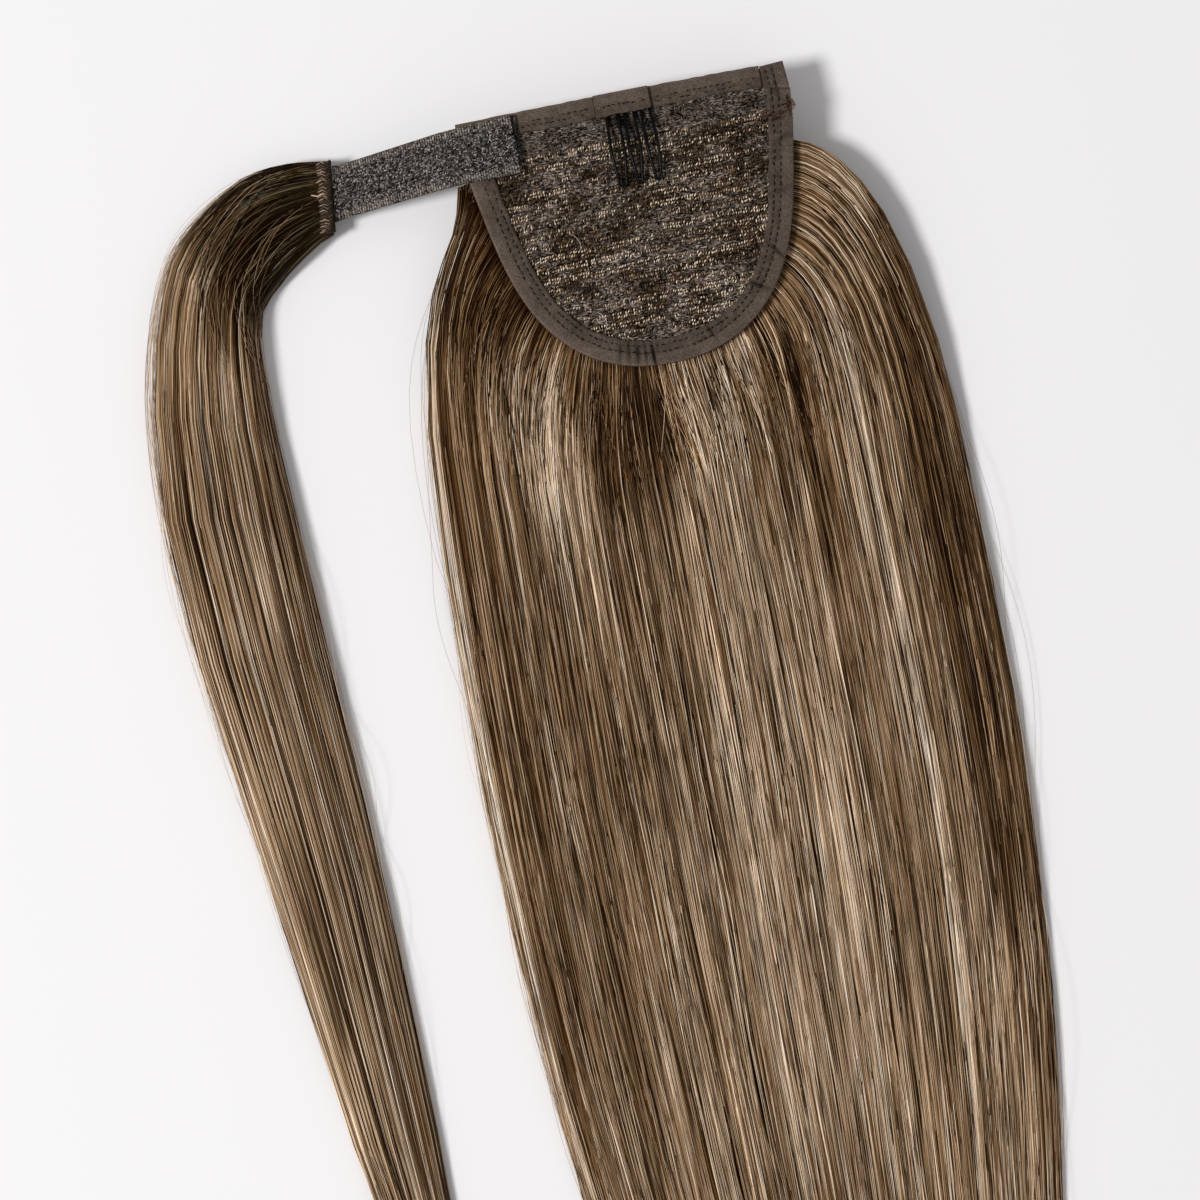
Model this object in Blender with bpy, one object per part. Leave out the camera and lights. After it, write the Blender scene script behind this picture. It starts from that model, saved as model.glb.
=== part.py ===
# Wrap-around ponytail hairpiece, lying with the inner side of its base up.
# Sizes are in millimetres and MM turns them into metres. +X is to the right, +Y runs
# from the hair's tips to the top edge of the base, and +Z is up from the table.

import math
import random

import bmesh
import bpy
from mathutils import Vector

MM = 0.001
GAP = 0.3
SEED = 7

# Base: a net panel with a straight top edge and a U-shaped rim
RIM_CENTRE_X = 1.5
RIM_HALF_WIDTH = 62.5
RIM_TOP_Y = 26.0
RIM_DEPTH = 82.0
RIM_TAPER = 0.23
RIM_ROUNDNESS = 0.92
RIM_SAMPLES = 240
RIM_STEPS = 52
TOP_EDGE_Y = 48.5
RIGHT_CORNER_X = 64.4
LEFT_RIM_END_Y = 39.0
SHOULDER_OUT = 1.2

# Base: it is crowned, and its sides and ends sag on the hair beneath it
BASE_HEIGHT = 24.0
SIDE_SAG = 3.0
END_SAG = 1.5
SAG_HALF_LENGTH = 50.0
NET_THICKNESS = 1.2

# Weft rows sewn across the net
WEFT_ROWS = 18
WEFT_FIRST_Y = 29.0
WEFT_PITCH = 4.2
WEFT_HALF_WIDTH = 1.2
WEFT_RISE = 0.8
NET_BAND_Y = (32.0, 39.5)
NET_TAIL_Y = (-45.6, -48.6, -51.6, -53.6)
NET_TAIL_SHARES = (0.3, 0.7)
NET_INNER_COLUMNS = 4

# Fabric tape folded over the edges
TAPE_WIDTH = 9.5
TAPE_LOWER_WIDTH = 7.0
TAPE_THICKNESS = 1.0
TAPE_ROUNDING = 0.5
TOP_TAPE_WIDTH = 8.2
TOP_TAPE_STEP = 11.0

# Comb tab and the wire comb under it
TAB_LEFT_X = -9.0
TAB_RIGHT_X = 12.0
TAB_WIDTH = 8.6
WIRE_DIAMETER = 1.1
COMB_BAR_Y = 44.0
COMB_TIP_Y = 12.7
COMB_LEG_YS = (44.0, 41.0, 38.0, 34.0, 29.5, 25.0, 20.5, 16.5, 14.0)
COMB_TURN = (0.75, 0.35)
COMB_PINS = (
    # root_left_x, root_right_x, tip_left_x, tip_right_x
    (-5.2, -1.0, -5.3, -2.5),
    (1.5, 5.2, 1.8, 3.6),
    (7.8, 11.2, 8.8, 10.9),
)
COMB_ARCH = (
    # y, height above the net's lower face
    (44.0, 2.05),
    (39.6, 2.1),
    (36.0, 3.2),
    (31.0, 4.6),
    (25.0, 5.2),
    (18.0, 4.4),
    (12.7, 3.1),
)

# Hook-and-loop strap, from its seam on the base down to the wrap lock
STRAP_THICKNESS = 1.8
SELVEDGE_WIDTH = 3.0
SELVEDGE_DROP = 0.4
STRAP_ROWS = (
    # upper_x, upper_y, lower_x, lower_y, underside_z
    (-39.5, 47.4, -39.5, 25.3, 24.8),
    (-50.0, 47.1, -50.0, 25.3, 24.4),
    (-56.0, 46.9, -56.0, 25.3, 24.1),
    (-62.0, 46.6, -62.0, 25.3, 23.6),
    (-67.0, 46.4, -67.0, 25.2, 22.8),
    (-72.0, 46.1, -72.0, 25.0, 21.5),
    (-102.0, 43.9, -102.0, 23.5, 11.9),
    (-107.0, 43.7, -107.5, 23.2, 10.5),
    (-111.4, 43.6, -114.3, 22.1, 9.4),
)

# Stitched weft head of the wrap lock
WEFT_HEAD_WIDTH = 5.5
WEFT_HEAD_BOTTOM = 8.3
WEFT_HEAD_THICKNESS = 3.0
WEFT_HEAD_ROUNDING = 0.75
WEFT_HEAD_UPPER = (-111.7, 45.6)
WEFT_HEAD_LOWER = (-115.1, 18.6)

# Wrap lock: outer and inner edge of the lying hair, from its weft head to its tips
WRAP_LOCKS = 6
WRAP_GROOVE = 1.4
WRAP_TIP_SPREAD = 14.0
WRAP_NOTCH = 26.0
WRAP_ROUNDING_ROWS = 4
WRAP_ROWS = (
    # outer_x, outer_y, inner_x, inner_y, height
    (-112.4, 45.3, -116.2, 18.8, 8.0),
    (-119.0, 46.3, -122.0, 16.6, 8.0),
    (-127.0, 47.1, -127.5, 13.2, 9.8),
    (-137.0, 47.0, -134.0, 9.0, 12.2),
    (-147.0, 45.2, -140.0, 4.2, 14.0),
    (-157.5, 39.7, -145.5, -0.6, 15.0),
    (-168.6, 31.4, -149.7, -6.0, 15.4),
    (-177.0, 22.6, -151.8, -13.5, 15.4),
    (-183.2, 11.2, -152.7, -22.5, 15.2),
    (-188.6, -3.0, -153.0, -32.0, 15.0),
    (-193.2, -20.0, -153.2, -43.0, 14.8),
    (-197.0, -40.0, -152.9, -57.0, 14.5),
    (-199.6, -63.0, -152.2, -74.0, 14.2),
    (-200.5, -88.0, -151.5, -94.0, 13.8),
    (-199.8, -115.0, -150.5, -118.0, 13.4),
    (-196.2, -150.0, -149.0, -151.0, 12.8),
    (-190.0, -200.0, -146.4, -200.0, 11.8),
    (-184.6, -250.0, -144.8, -250.0, 10.8),
    (-179.0, -300.0, -144.0, -300.0, 9.6),
    (-172.5, -345.0, -143.2, -345.0, 8.4),
    (-166.5, -390.0, -142.8, -390.0, 6.8),
    (-161.5, -425.0, -143.0, -425.0, 5.0),
    (-157.5, -450.0, -144.5, -450.0, 3.0),
    (-154.0, -468.0, -147.0, -468.0, 1.2),
)

# Main hair: how its strands leave the rim, from its left edge to its right edge
HAIR_ROOTS = (
    # across, rim_fraction, inset, first_angle, root_pull, join_pull
    (0.00, 0.00, -4.5, -11.0, 0.82, 2.30),
    (0.05, 0.06, 0.0, -36.0, 0.84, 1.90),
    (0.10, 0.15, 3.0, -50.0, 0.88, 1.50),
    (0.16, 0.24, 3.0, -46.0, 0.90, 1.25),
    (0.23, 0.31, 3.0, -30.0, 0.95, 1.15),
    (0.35, 0.40, 3.0, -11.0, 0.95, 1.15),
    (0.50, 0.50, 3.0, 1.0, 0.95, 1.15),
    (0.65, 0.63, 3.0, 14.0, 0.95, 1.15),
    (0.74, 0.71, 3.0, 36.0, 0.92, 1.10),
    (0.82, 0.78, 3.0, 58.0, 0.90, 0.90),
    (0.90, 0.86, 3.0, 72.0, 0.90, 0.60),
    (0.96, 0.92, 1.5, 75.0, 0.90, 0.35),
    (1.00, 0.967, 0.0, 76.0, 0.90, 0.26),
)
JOIN_Y = -110.0
HAIR_FALL = (
    # y, left_x, right_x, height
    (-110.0, -98.0, 105.3, 19.0),
    (-150.0, -99.2, 106.2, 18.0),
    (-200.0, -100.2, 106.0, 16.8),
    (-250.0, -99.6, 104.4, 15.2),
    (-300.0, -97.6, 100.8, 13.4),
    (-350.0, -93.6, 95.4, 11.4),
    (-400.0, -87.5, 88.0, 9.0),
    (-440.0, -81.5, 81.0, 6.8),
    (-490.0, -73.0, 72.0, 3.6),
    (-545.0, -62.0, 60.0, 1.2),
)
HAIR_LOCKS = 21
LOCK_WIDTHS = (0.75, 1.25)
HAIR_GROOVE = 1.8
HAIR_NOTCH = 44.0
HAIR_TIP_Y = -545.0
HAIR_TIP_SPREAD = 46.0
TIP_THICKNESS = 1.2
TIP_UNEVENNESS = 0.55
FAN_ROWS = 8
FAN_SPACING = 1.4
EDGE_HEIGHT_SHARE = 0.36
CROWN_POWER = 3.0
HAIR_RISE_LENGTH = 60.0
COLUMNS_PER_LOCK = 4
GROOVE_ROWS = 4
GROOVE_SHARE = (1.0, 0.28, 0.0, 0.28)
TIP_PULL = (0.0, 0.45, 0.0, 0.45)
TIP_REACH = (0.0, 0.68, 1.0, 0.68)
BACK_Y = 34.0
BACK_HEIGHT = 9.0
BACK_INSET = 3.0

# Colours, as linear red, green and blue
ASH_BROWN = (0.23, 0.15, 0.09)
NET_BROWN = (0.12, 0.09, 0.075)
TAPE_BROWN = (0.11, 0.085, 0.075)
STRAP_GREY = (0.095, 0.095, 0.088)
WEFT_BEIGE = (0.30, 0.21, 0.14)
WIRE_BLACK = (0.012, 0.013, 0.012)


# Small helpers
def clear_scene():
    for item in list(bpy.data.objects):
        bpy.data.objects.remove(item, do_unlink=True)


def blend(low, high, share):
    return low + (high - low) * share


def ease(share):
    share = min(max(share, 0.0), 1.0)
    return share * share * (3.0 - 2.0 * share)


def table_value(table, key, column):
    """Reads one column of a table at a key in its first column, on a smooth curve."""
    rows = sorted(table)
    key = min(max(key, rows[0][0]), rows[-1][0])
    place = max(i for i in range(len(rows) - 1) if rows[i][0] <= key)
    step = rows[place + 1][0] - rows[place][0]
    share = (key - rows[place][0]) / step
    slopes = [row_slope(rows, i, column) * step for i in (place, place + 1)]
    start, end = rows[place][column], rows[place + 1][column]
    return hermite(start, slopes[0], end, slopes[1], share)


def row_slope(rows, index, column):
    before, after = max(index - 1, 0), min(index + 1, len(rows) - 1)
    return (rows[after][column] - rows[before][column]) / (rows[after][0] - rows[before][0])


def hermite(start, start_pull, end, end_pull, share):
    square, cube = share * share, share * share * share
    return (
        start * (2 * cube - 3 * square + 1)
        + start_pull * (cube - 2 * square + share)
        + end * (3 * square - 2 * cube)
        + end_pull * (cube - square)
    )


def material(name, colour, roughness, metallic=0.0):
    finish = bpy.data.materials.new(name)
    finish.use_nodes = True
    shader = finish.node_tree.nodes["Principled BSDF"]
    shader.inputs["Base Color"].default_value = (*colour, 1.0)
    shader.inputs["Roughness"].default_value = roughness
    shader.inputs["Metallic"].default_value = metallic
    finish.diffuse_color = (*colour, 1.0)
    return finish


def add_solid(name, points, faces, finish):
    """Makes one closed object from points in millimetres, with its faces pointing out."""
    mesh = bpy.data.meshes.new(name)
    mesh.from_pydata([[value * MM for value in point] for point in points], [], faces)
    draft = bmesh.new()
    draft.from_mesh(mesh)
    bmesh.ops.recalc_face_normals(draft, faces=draft.faces)
    draft.to_mesh(mesh)
    draft.free()
    mesh.materials.append(finish)
    item = bpy.data.objects.new(name, mesh)
    bpy.context.scene.collection.objects.link(item)
    return item


def sweep(name, sections, finish):
    """Joins sections, each a closed ring of the same number of points, end to end."""
    count = len(sections[0])
    points = [point for section in sections for point in section]
    faces = [tuple(range(count)), tuple(range(len(points) - count, len(points)))]
    for ring in range(len(sections) - 1):
        for i in range(count):
            here, there = ring * count + i, ring * count + (i + 1) % count
            faces.append((here, there, there + count, here + count))
    return add_solid(name, points, faces, finish)


def grid_faces(rows, columns, first=0):
    faces = []
    for row in range(rows - 1):
        for column in range(columns - 1):
            corner = first + row * columns + column
            faces.append((corner, corner + 1, corner + columns + 1, corner + columns))
    return faces


def grid_border(rows, columns):
    """Lists the points round a grid: its first row, last column, last row and first column."""
    first = list(range(columns))
    right = [row * columns + columns - 1 for row in range(1, rows)]
    last = [(rows - 1) * columns + column for column in range(columns - 2, -1, -1)]
    left = [row * columns for row in range(rows - 2, 0, -1)]
    return first + right + last + left


# Base surface and rim
def base_z(x, y):
    """Height of the net's lower face above the table."""
    across = (x - RIM_CENTRE_X) / RIM_HALF_WIDTH
    along = y / SAG_HALF_LENGTH
    return BASE_HEIGHT - SIDE_SAG * across * across - END_SAG * along * along


def rim_curve(turn, side):
    """A point of the U: turn is 0 at its top end and pi / 2 at its lowest point."""
    depth = math.sqrt(max(math.sin(turn), 0.0))
    half = RIM_HALF_WIDTH * (1 - RIM_TAPER * depth) * max(math.cos(turn), 0.0) ** RIM_ROUNDNESS
    return Vector((RIM_CENTRE_X + side * half, RIM_TOP_Y - RIM_DEPTH * depth))


def rim_samples(count):
    turns = [math.pi / 2 * (i / count) ** 2 for i in range(count + 1)]
    left = [rim_curve(turn, -1) for turn in turns]
    right = [rim_curve(turn, 1) for turn in reversed(turns)]
    return left + right[1:]


def even_points(path, count):
    """Points at even spacing along a path."""
    runs = [0.0]
    for before, after in zip(path, path[1:]):
        runs.append(runs[-1] + (after - before).length)
    points, place = [], 0
    for i in range(count):
        target = runs[-1] * i / (count - 1)
        while place < len(path) - 2 and runs[place + 1] < target:
            place += 1
        share = (target - runs[place]) / (runs[place + 1] - runs[place])
        points.append(path[place].lerp(path[place + 1], min(share, 1.0)))
    return points


def outward(path, index):
    """Unit vector out of the U, at a point of a path that runs from its left end to its right."""
    before, after = path[max(index - 1, 0)], path[min(index + 1, len(path) - 1)]
    along = (after - before).normalized()
    return Vector((along.y, -along.x))


RIM = even_points(rim_samples(RIM_SAMPLES), 2 * RIM_SAMPLES + 1)


def rim_at(fraction, inset):
    index = round(fraction * (len(RIM) - 1))
    return RIM[index] - outward(RIM, index) * inset


def binding_path():
    """Outer edge of the edge binding, from under the strap round the U to the right corner."""
    start = RIM[0] + Vector((-SHOULDER_OUT, LEFT_RIM_END_Y - RIM_TOP_Y))
    bend = Vector((RIM[-1].x + SHOULDER_OUT, blend(RIM_TOP_Y, TOP_EDGE_Y, 0.5)))
    corner = Vector((RIGHT_CORNER_X, TOP_EDGE_Y))
    return even_points([start, *RIM, bend, corner], RIM_STEPS)


def rim_half(y, side, inset):
    """Edge of the panel at a height y, read from the rim with an inset."""
    path = [point - outward(PATH, i) * inset for i, point in enumerate(PATH)]
    lowest = min(range(len(path)), key=lambda i: path[i].y)
    branch = path[: lowest + 1][::-1] if side < 0 else path[lowest:]
    for low, high in zip(branch, branch[1:]):
        if low.y <= y <= high.y:
            return blend(low.x, high.x, (y - low.y) / (high.y - low.y))
    return branch[-1].x if y > branch[-1].y else branch[0].x


PATH = binding_path()


# Net panel with its sewn weft rows
def net_row_levels():
    """Rows of the panel from top to bottom: y and rise of the weft there."""
    edge = TOP_EDGE_Y - TAPE_THICKNESS - GAP
    levels = [(edge, 0.0), (NET_BAND_Y[1], 0.0), (NET_BAND_Y[0], 0.0)]
    for i in range(WEFT_ROWS):
        middle = WEFT_FIRST_Y - i * WEFT_PITCH
        levels.append((middle + WEFT_HALF_WIDTH, WEFT_RISE))
        levels.append((middle - WEFT_HALF_WIDTH, WEFT_RISE))
        levels.append((middle - WEFT_PITCH / 2, 0.0))
    return levels[:-1] + [(y, 0.0) for y in NET_TAIL_Y]


def net_row(y, rise):
    """One row of the panel: plain under the tape, raised by the weft between its inner edges."""
    cut = TAPE_THICKNESS + GAP
    outer = [rim_half(y, side, cut) for side in (-1, 1)]
    inner = [rim_half(y, side, TAPE_WIDTH + GAP) for side in (-1, 1)]
    if y < NET_TAIL_Y[0] + GAP:
        inner = [blend(*outer, share) for share in NET_TAIL_SHARES]
    between = [blend(*inner, i / NET_INNER_COLUMNS) for i in range(1, NET_INNER_COLUMNS)]
    xs = [outer[0], inner[0], inner[0] + GAP, *between, inner[1] - GAP, inner[1], outer[1]]
    rises = [0.0, 0.0] + [rise] * (len(xs) - 4) + [0.0, 0.0]
    return [(x, y, base_z(x, y), lift) for x, lift in zip(xs, rises)]


def make_net():
    rows = [net_row(y, rise) for y, rise in net_row_levels()]
    count, width = len(rows), len(rows[0])
    top = [(x, y, z + NET_THICKNESS + lift) for row in rows for x, y, z, lift in row]
    bottom = [(x, y, z) for row in rows for x, y, z, lift in row]
    lower = len(top)
    faces = grid_faces(count, width) + grid_faces(count, width, lower)
    border = grid_border(count, width)
    for here, there in zip(border, border[1:] + border[:1]):
        faces.append((here, there, there + lower, here + lower))
    return add_solid("base_net", top + bottom, faces, material("net", NET_BROWN, 0.9))


# Tape folded over an edge: inset from the edge and height above the net's lower face
def fold_section(width, lower_width, bottom_of_upper):
    top = bottom_of_upper + TAPE_THICKNESS
    under = -GAP - TAPE_THICKNESS
    return [
        (width, bottom_of_upper),
        (width, top),
        (TAPE_ROUNDING, top),
        (0.0, top - TAPE_ROUNDING),
        (0.0, under + TAPE_ROUNDING),
        (TAPE_ROUNDING, under),
        (lower_width, under),
        (lower_width, -GAP),
        (TAPE_THICKNESS, -GAP),
        (TAPE_THICKNESS, bottom_of_upper),
    ]


def make_edge_binding():
    profile = fold_section(TAPE_WIDTH, TAPE_LOWER_WIDTH, NET_THICKNESS + GAP)
    sections = []
    for i, edge in enumerate(PATH):
        normal = outward(PATH, i)
        flat = [edge - normal * inset for inset, height in profile]
        sections.append(
            [(p.x, p.y, base_z(p.x, p.y) + height) for p, (inset, height) in zip(flat, profile)]
        )
    return sweep("edge_binding", sections, material("edge_tape", TAPE_BROWN, 0.88))


def make_top_fold(name, left_x, right_x, width, bottom_of_upper, finish):
    """A length of tape folded over the straight top edge."""
    profile = fold_section(width, TAPE_LOWER_WIDTH, bottom_of_upper)
    steps = max(1, round((right_x - left_x) / TOP_TAPE_STEP))
    sections = []
    for i in range(steps + 1):
        x = blend(left_x, right_x, i / steps)
        ys = [TOP_EDGE_Y - inset for inset, height in profile]
        sections.append([(x, y, base_z(x, y) + h) for y, (inset, h) in zip(ys, profile)])
    return sweep(name, sections, finish)


def make_top_tapes():
    level = NET_THICKNESS + GAP
    left_start = RIM[0].x - SHOULDER_OUT
    right_end = rim_half(TOP_EDGE_Y, 1, TAPE_WIDTH + GAP)
    tape = material("top_tape", TAPE_BROWN, 0.88)
    make_top_fold("top_binding_left", left_start, TAB_LEFT_X - GAP, TOP_TAPE_WIDTH, level, tape)
    make_top_fold("top_binding_right", TAB_RIGHT_X + GAP, right_end, TOP_TAPE_WIDTH, level, tape)
    tab_level = table_value(COMB_ARCH, COMB_BAR_Y, 1) + WIRE_DIAMETER / 2 + GAP
    tab = material("tab_fabric", TAPE_BROWN, 0.88)
    make_top_fold("comb_tab", TAB_LEFT_X, TAB_RIGHT_X, TAB_WIDTH, tab_level, tab)


# Wire comb: one wire bent into three hairpins along a hidden bar
def comb_wire_points():
    points = []
    for root_left, root_right, tip_left, tip_right in COMB_PINS:
        down = [(blend(root_left, tip_left, pin_share(y)), y) for y in COMB_LEG_YS]
        back = [(blend(root_right, tip_right, pin_share(y)), y) for y in reversed(COMB_LEG_YS)]
        middle = (tip_left + tip_right) / 2
        side = (tip_right - tip_left) / 2 * COMB_TURN[0]
        shoulder_y = COMB_TIP_Y + COMB_TURN[1]
        turn = [(middle - side, shoulder_y), (middle, COMB_TIP_Y), (middle + side, shoulder_y)]
        points += down + turn + back
    return [(x, y, base_z(x, y) + table_value(COMB_ARCH, y, 1)) for x, y in points]


def pin_share(y):
    return (COMB_BAR_Y - y) / (COMB_BAR_Y - COMB_TIP_Y)


def make_comb():
    points = comb_wire_points()
    wire = bpy.data.curves.new("wire_comb", "CURVE")
    wire.dimensions = "3D"
    wire.bevel_depth = WIRE_DIAMETER / 2 * MM
    wire.bevel_resolution = 1
    wire.use_fill_caps = True
    line = wire.splines.new("POLY")
    line.points.add(len(points) - 1)
    for spot, point in zip(line.points, points):
        spot.co = (*[value * MM for value in point], 1.0)
    wire.materials.append(material("comb_wire", WIRE_BLACK, 0.3, 0.6))
    item = bpy.data.objects.new("wire_comb", wire)
    bpy.context.scene.collection.objects.link(item)
    return item


# Hook-and-loop strap
def make_strap():
    sections = []
    for upper_x, upper_y, lower_x, lower_y, bottom in STRAP_ROWS:
        width = upper_y - lower_y
        edge, pile = bottom + STRAP_THICKNESS - SELVEDGE_DROP, bottom + STRAP_THICKNESS
        marks = [
            (0.0, bottom),
            (0.0, edge),
            (SELVEDGE_WIDTH, edge),
            (SELVEDGE_WIDTH + GAP, pile),
            (width - SELVEDGE_WIDTH - GAP, pile),
            (width - SELVEDGE_WIDTH, edge),
            (width, edge),
            (width, bottom),
        ]
        sections.append([(blend(lower_x, upper_x, d / width), lower_y + d, z) for d, z in marks])
    return sweep("hook_loop_strap", sections, material("loop_fabric", STRAP_GREY, 0.92))


# Weft head that joins the wrap lock to the strap
def make_weft_head():
    low, high = WEFT_HEAD_BOTTOM, WEFT_HEAD_BOTTOM + WEFT_HEAD_THICKNESS
    side = WEFT_HEAD_ROUNDING
    marks = [
        (0.0, low + side),
        (0.0, high - side),
        (side, high),
        (WEFT_HEAD_WIDTH - side, high),
        (WEFT_HEAD_WIDTH, high - side),
        (WEFT_HEAD_WIDTH, low + side),
        (WEFT_HEAD_WIDTH - side, low),
        (side, low),
    ]
    ends = [WEFT_HEAD_UPPER, WEFT_HEAD_LOWER]
    sections = [[(x - across, y, z) for across, z in marks] for x, y in ends]
    return sweep("wrap_weft", sections, material("weft_stitching", WEFT_BEIGE, 0.85))


# Hair: locks fused side by side, flat where they lie on the table
def lock_columns(locks, dice):
    """Places of the columns across the hair, from 0 to 1, with locks of uneven width."""
    widths = [dice.uniform(*LOCK_WIDTHS) for i in range(locks)]
    edges = [sum(widths[:i]) / sum(widths) for i in range(locks + 1)]
    columns = []
    for start, end in zip(edges, edges[1:]):
        columns += [blend(start, end, i / COLUMNS_PER_LOCK) for i in range(COLUMNS_PER_LOCK)]
    return columns + [1.0]


def crown(across):
    """Rounded height across the hair: 1 in the middle, less at both edges."""
    away = abs(2.0 * across - 1.0) ** CROWN_POWER
    return EDGE_HEIGHT_SHARE + (1.0 - EDGE_HEIGHT_SHARE) * math.sqrt(max(1.0 - away, 0.0))


def lock_tips(locks, tip_y, spread, dice):
    """Lowest y of each lock, longest towards the middle."""
    tips = []
    for i in range(locks):
        away = abs(2.0 * (i + 0.5) / locks - 1.0)
        tips.append(tip_y + spread * blend(away * away, dice.random(), TIP_UNEVENNESS))
    tips[locks // 2] = tip_y
    return tips


def heap_faces(rows, columns, behind):
    """Top, walls and flat bottom of lying hair, with any points behind its first row."""
    border = grid_border(rows, columns)
    faces = grid_faces(rows, columns)
    total = rows * columns
    if behind:
        back = [total + i for i in range(behind)]
        faces.append(tuple(range(columns)))
        faces.append((0, columns - 1, *back))
        border = [0, *reversed(back), columns - 1] + border[columns:]
        total += behind
    lower = {point: total + i for i, point in enumerate(border)}
    for here, there in zip(border, border[1:] + border[:1]):
        faces.append((here, there, lower[there], lower[here]))
    faces.append(tuple(lower[point] for point in border))
    return faces, border


def fan_point(across, share):
    """A point of the strand at a place across the hair, between its root and the join."""
    rim, inset, angle, root_pull, join_pull = [
        table_value(HAIR_ROOTS, across, column) for column in range(1, 6)
    ]
    root = rim_at(rim, inset)
    join = Vector((fall_x(across, JOIN_Y), JOIN_Y))
    reach = (join - root).length
    turn = math.radians(angle)
    start = Vector((math.sin(turn), -math.cos(turn))) * reach * root_pull
    slope = fall_x(across, JOIN_Y - 1.0) - join.x
    end = Vector((slope, -1.0)) * reach * join_pull
    return hermite(root, start, join, end, share)


def fall_x(across, y):
    return blend(table_value(HAIR_FALL, y, 1), table_value(HAIR_FALL, y, 2), across)


def fan_z(point, across, run):
    """Height of the hair near the rim: under the binding first, then up to its full body."""
    tucked = base_z(point.x, point.y) - TAPE_THICKNESS - 2 * GAP
    full = table_value(HAIR_FALL, JOIN_Y, 3) * crown(across)
    return blend(tucked, full, ease(run / HAIR_RISE_LENGTH))


def main_hair_rows(columns, tips):
    rows = []
    for i in range(FAN_ROWS):
        share = (i / FAN_ROWS) ** FAN_SPACING
        row = []
        for across in columns:
            point = fan_point(across, share)
            run = (point - fan_point(across, 0.0)).length
            row.append((point.x, point.y, fan_z(point, across, run)))
        rows.append(row)
    for y, left_x, right_x, height in HAIR_FALL[:-2]:
        rows.append([(blend(left_x, right_x, s), y, height * crown(s)) for s in columns])
    last_y = HAIR_FALL[-3][0]
    for share in (0.5, 1.0):
        rows.append(tip_row(columns, tips, last_y, share))
    return rows


def tip_row(columns, tips, last_y, share):
    """Tapers each lock from the last full row to its own pointed tip."""
    row = []
    for i, across in enumerate(columns):
        lock, part = min(i // COLUMNS_PER_LOCK, len(tips) - 1), i % COLUMNS_PER_LOCK
        notch_y = max(tips[max(lock - 1, 0)], tips[lock]) + HAIR_NOTCH
        end_y = blend(notch_y, tips[lock], TIP_REACH[part])
        y = blend(last_y, end_y, share)
        middle = columns[min(lock * COLUMNS_PER_LOCK + COLUMNS_PER_LOCK // 2, len(columns) - 1)]
        pull = TIP_PULL[part] * share
        x = fall_x(blend(across, middle, pull), y)
        full = table_value(HAIR_FALL, y, 3) * crown(across)
        row.append((x, y, blend(full, TIP_THICKNESS, share)))
    return row


def cut_grooves(rows, depth, first, last):
    """Lowers the columns between locks, less at the roots and at the tips."""
    for i, row in enumerate(rows):
        share = ease((i - first) / GROOVE_ROWS) * ease((last - i) / GROOVE_ROWS)
        for j, (x, y, z) in enumerate(row):
            cut = depth * share * GROOVE_SHARE[j % COLUMNS_PER_LOCK]
            inside = 0 < j < len(row) - 1
            rows[i][j] = (x, y, z - (cut if inside else 0.0))


def make_hair(name, rows, behind, finish):
    points = [point for row in rows for point in row] + behind
    faces, border = heap_faces(len(rows), len(rows[0]), len(behind))
    points += [(points[i][0], points[i][1], 0.0) for i in border]
    return add_solid(name, points, faces, finish)


def make_main_hair():
    dice = random.Random(SEED)
    columns = lock_columns(HAIR_LOCKS, dice)
    tips = lock_tips(HAIR_LOCKS, HAIR_TIP_Y, HAIR_TIP_SPREAD, dice)
    rows = main_hair_rows(columns, tips)
    cut_grooves(rows, HAIR_GROOVE, 1, len(rows) - 1)
    right, left = rows[0][-1], rows[0][0]
    behind = [
        (right[0] - BACK_INSET, BACK_Y, BACK_HEIGHT),
        (left[0] + BACK_INSET, BACK_Y, BACK_HEIGHT),
    ]
    return make_hair("main_hair", rows, behind, material("main_hair", ASH_BROWN, 0.5))


def make_wrap_lock():
    dice = random.Random(SEED + 1)
    columns = lock_columns(WRAP_LOCKS, dice)
    ends = [WRAP_TIP_SPREAD * dice.random() for i in range(WRAP_LOCKS)]
    rows = []
    for i, (outer_x, outer_y, inner_x, inner_y, height) in enumerate(WRAP_ROWS):
        rounding = ease((i - 1) / WRAP_ROUNDING_ROWS)
        row = []
        for s in columns:
            z = height * blend(1.0, crown(s), rounding)
            row.append((blend(outer_x, inner_x, s), blend(outer_y, inner_y, s), z))
        rows.append(row)
    for step, pull in ((-2, 0.5), (-1, 1.0)):
        for i, (x, y, z) in enumerate(rows[step]):
            lock, part = min(i // COLUMNS_PER_LOCK, WRAP_LOCKS - 1), i % COLUMNS_PER_LOCK
            back = WRAP_NOTCH * (1.0 - TIP_REACH[part]) + ends[lock] * TIP_REACH[part]
            rows[step][i] = (x, y + back * pull, z)
    cut_grooves(rows, WRAP_GROOVE, 2, len(rows) - 1)
    return make_hair("wrap_lock_hair", rows, [], material("wrap_hair", ASH_BROWN, 0.5))


# Assembly: the origin is under the middle of the whole object, on the table
def centre_on_table():
    frame = bpy.data.objects.new("hairpiece_frame", None)
    bpy.context.scene.collection.objects.link(frame)
    bpy.context.view_layer.update()
    parts = [item for item in bpy.context.scene.objects if item.type in {"MESH", "CURVE"}]
    corners = [Vector(corner) for item in parts for corner in item.bound_box]
    xs, ys = [corner.x for corner in corners], [corner.y for corner in corners]
    frame.location = (-(min(xs) + max(xs)) / 2, -(min(ys) + max(ys)) / 2, 0.0)
    for item in parts:
        item.parent = frame


clear_scene()
make_net()
make_edge_binding()
make_top_tapes()
make_comb()
make_strap()
make_weft_head()
make_wrap_lock()
make_main_hair()
centre_on_table()
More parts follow.
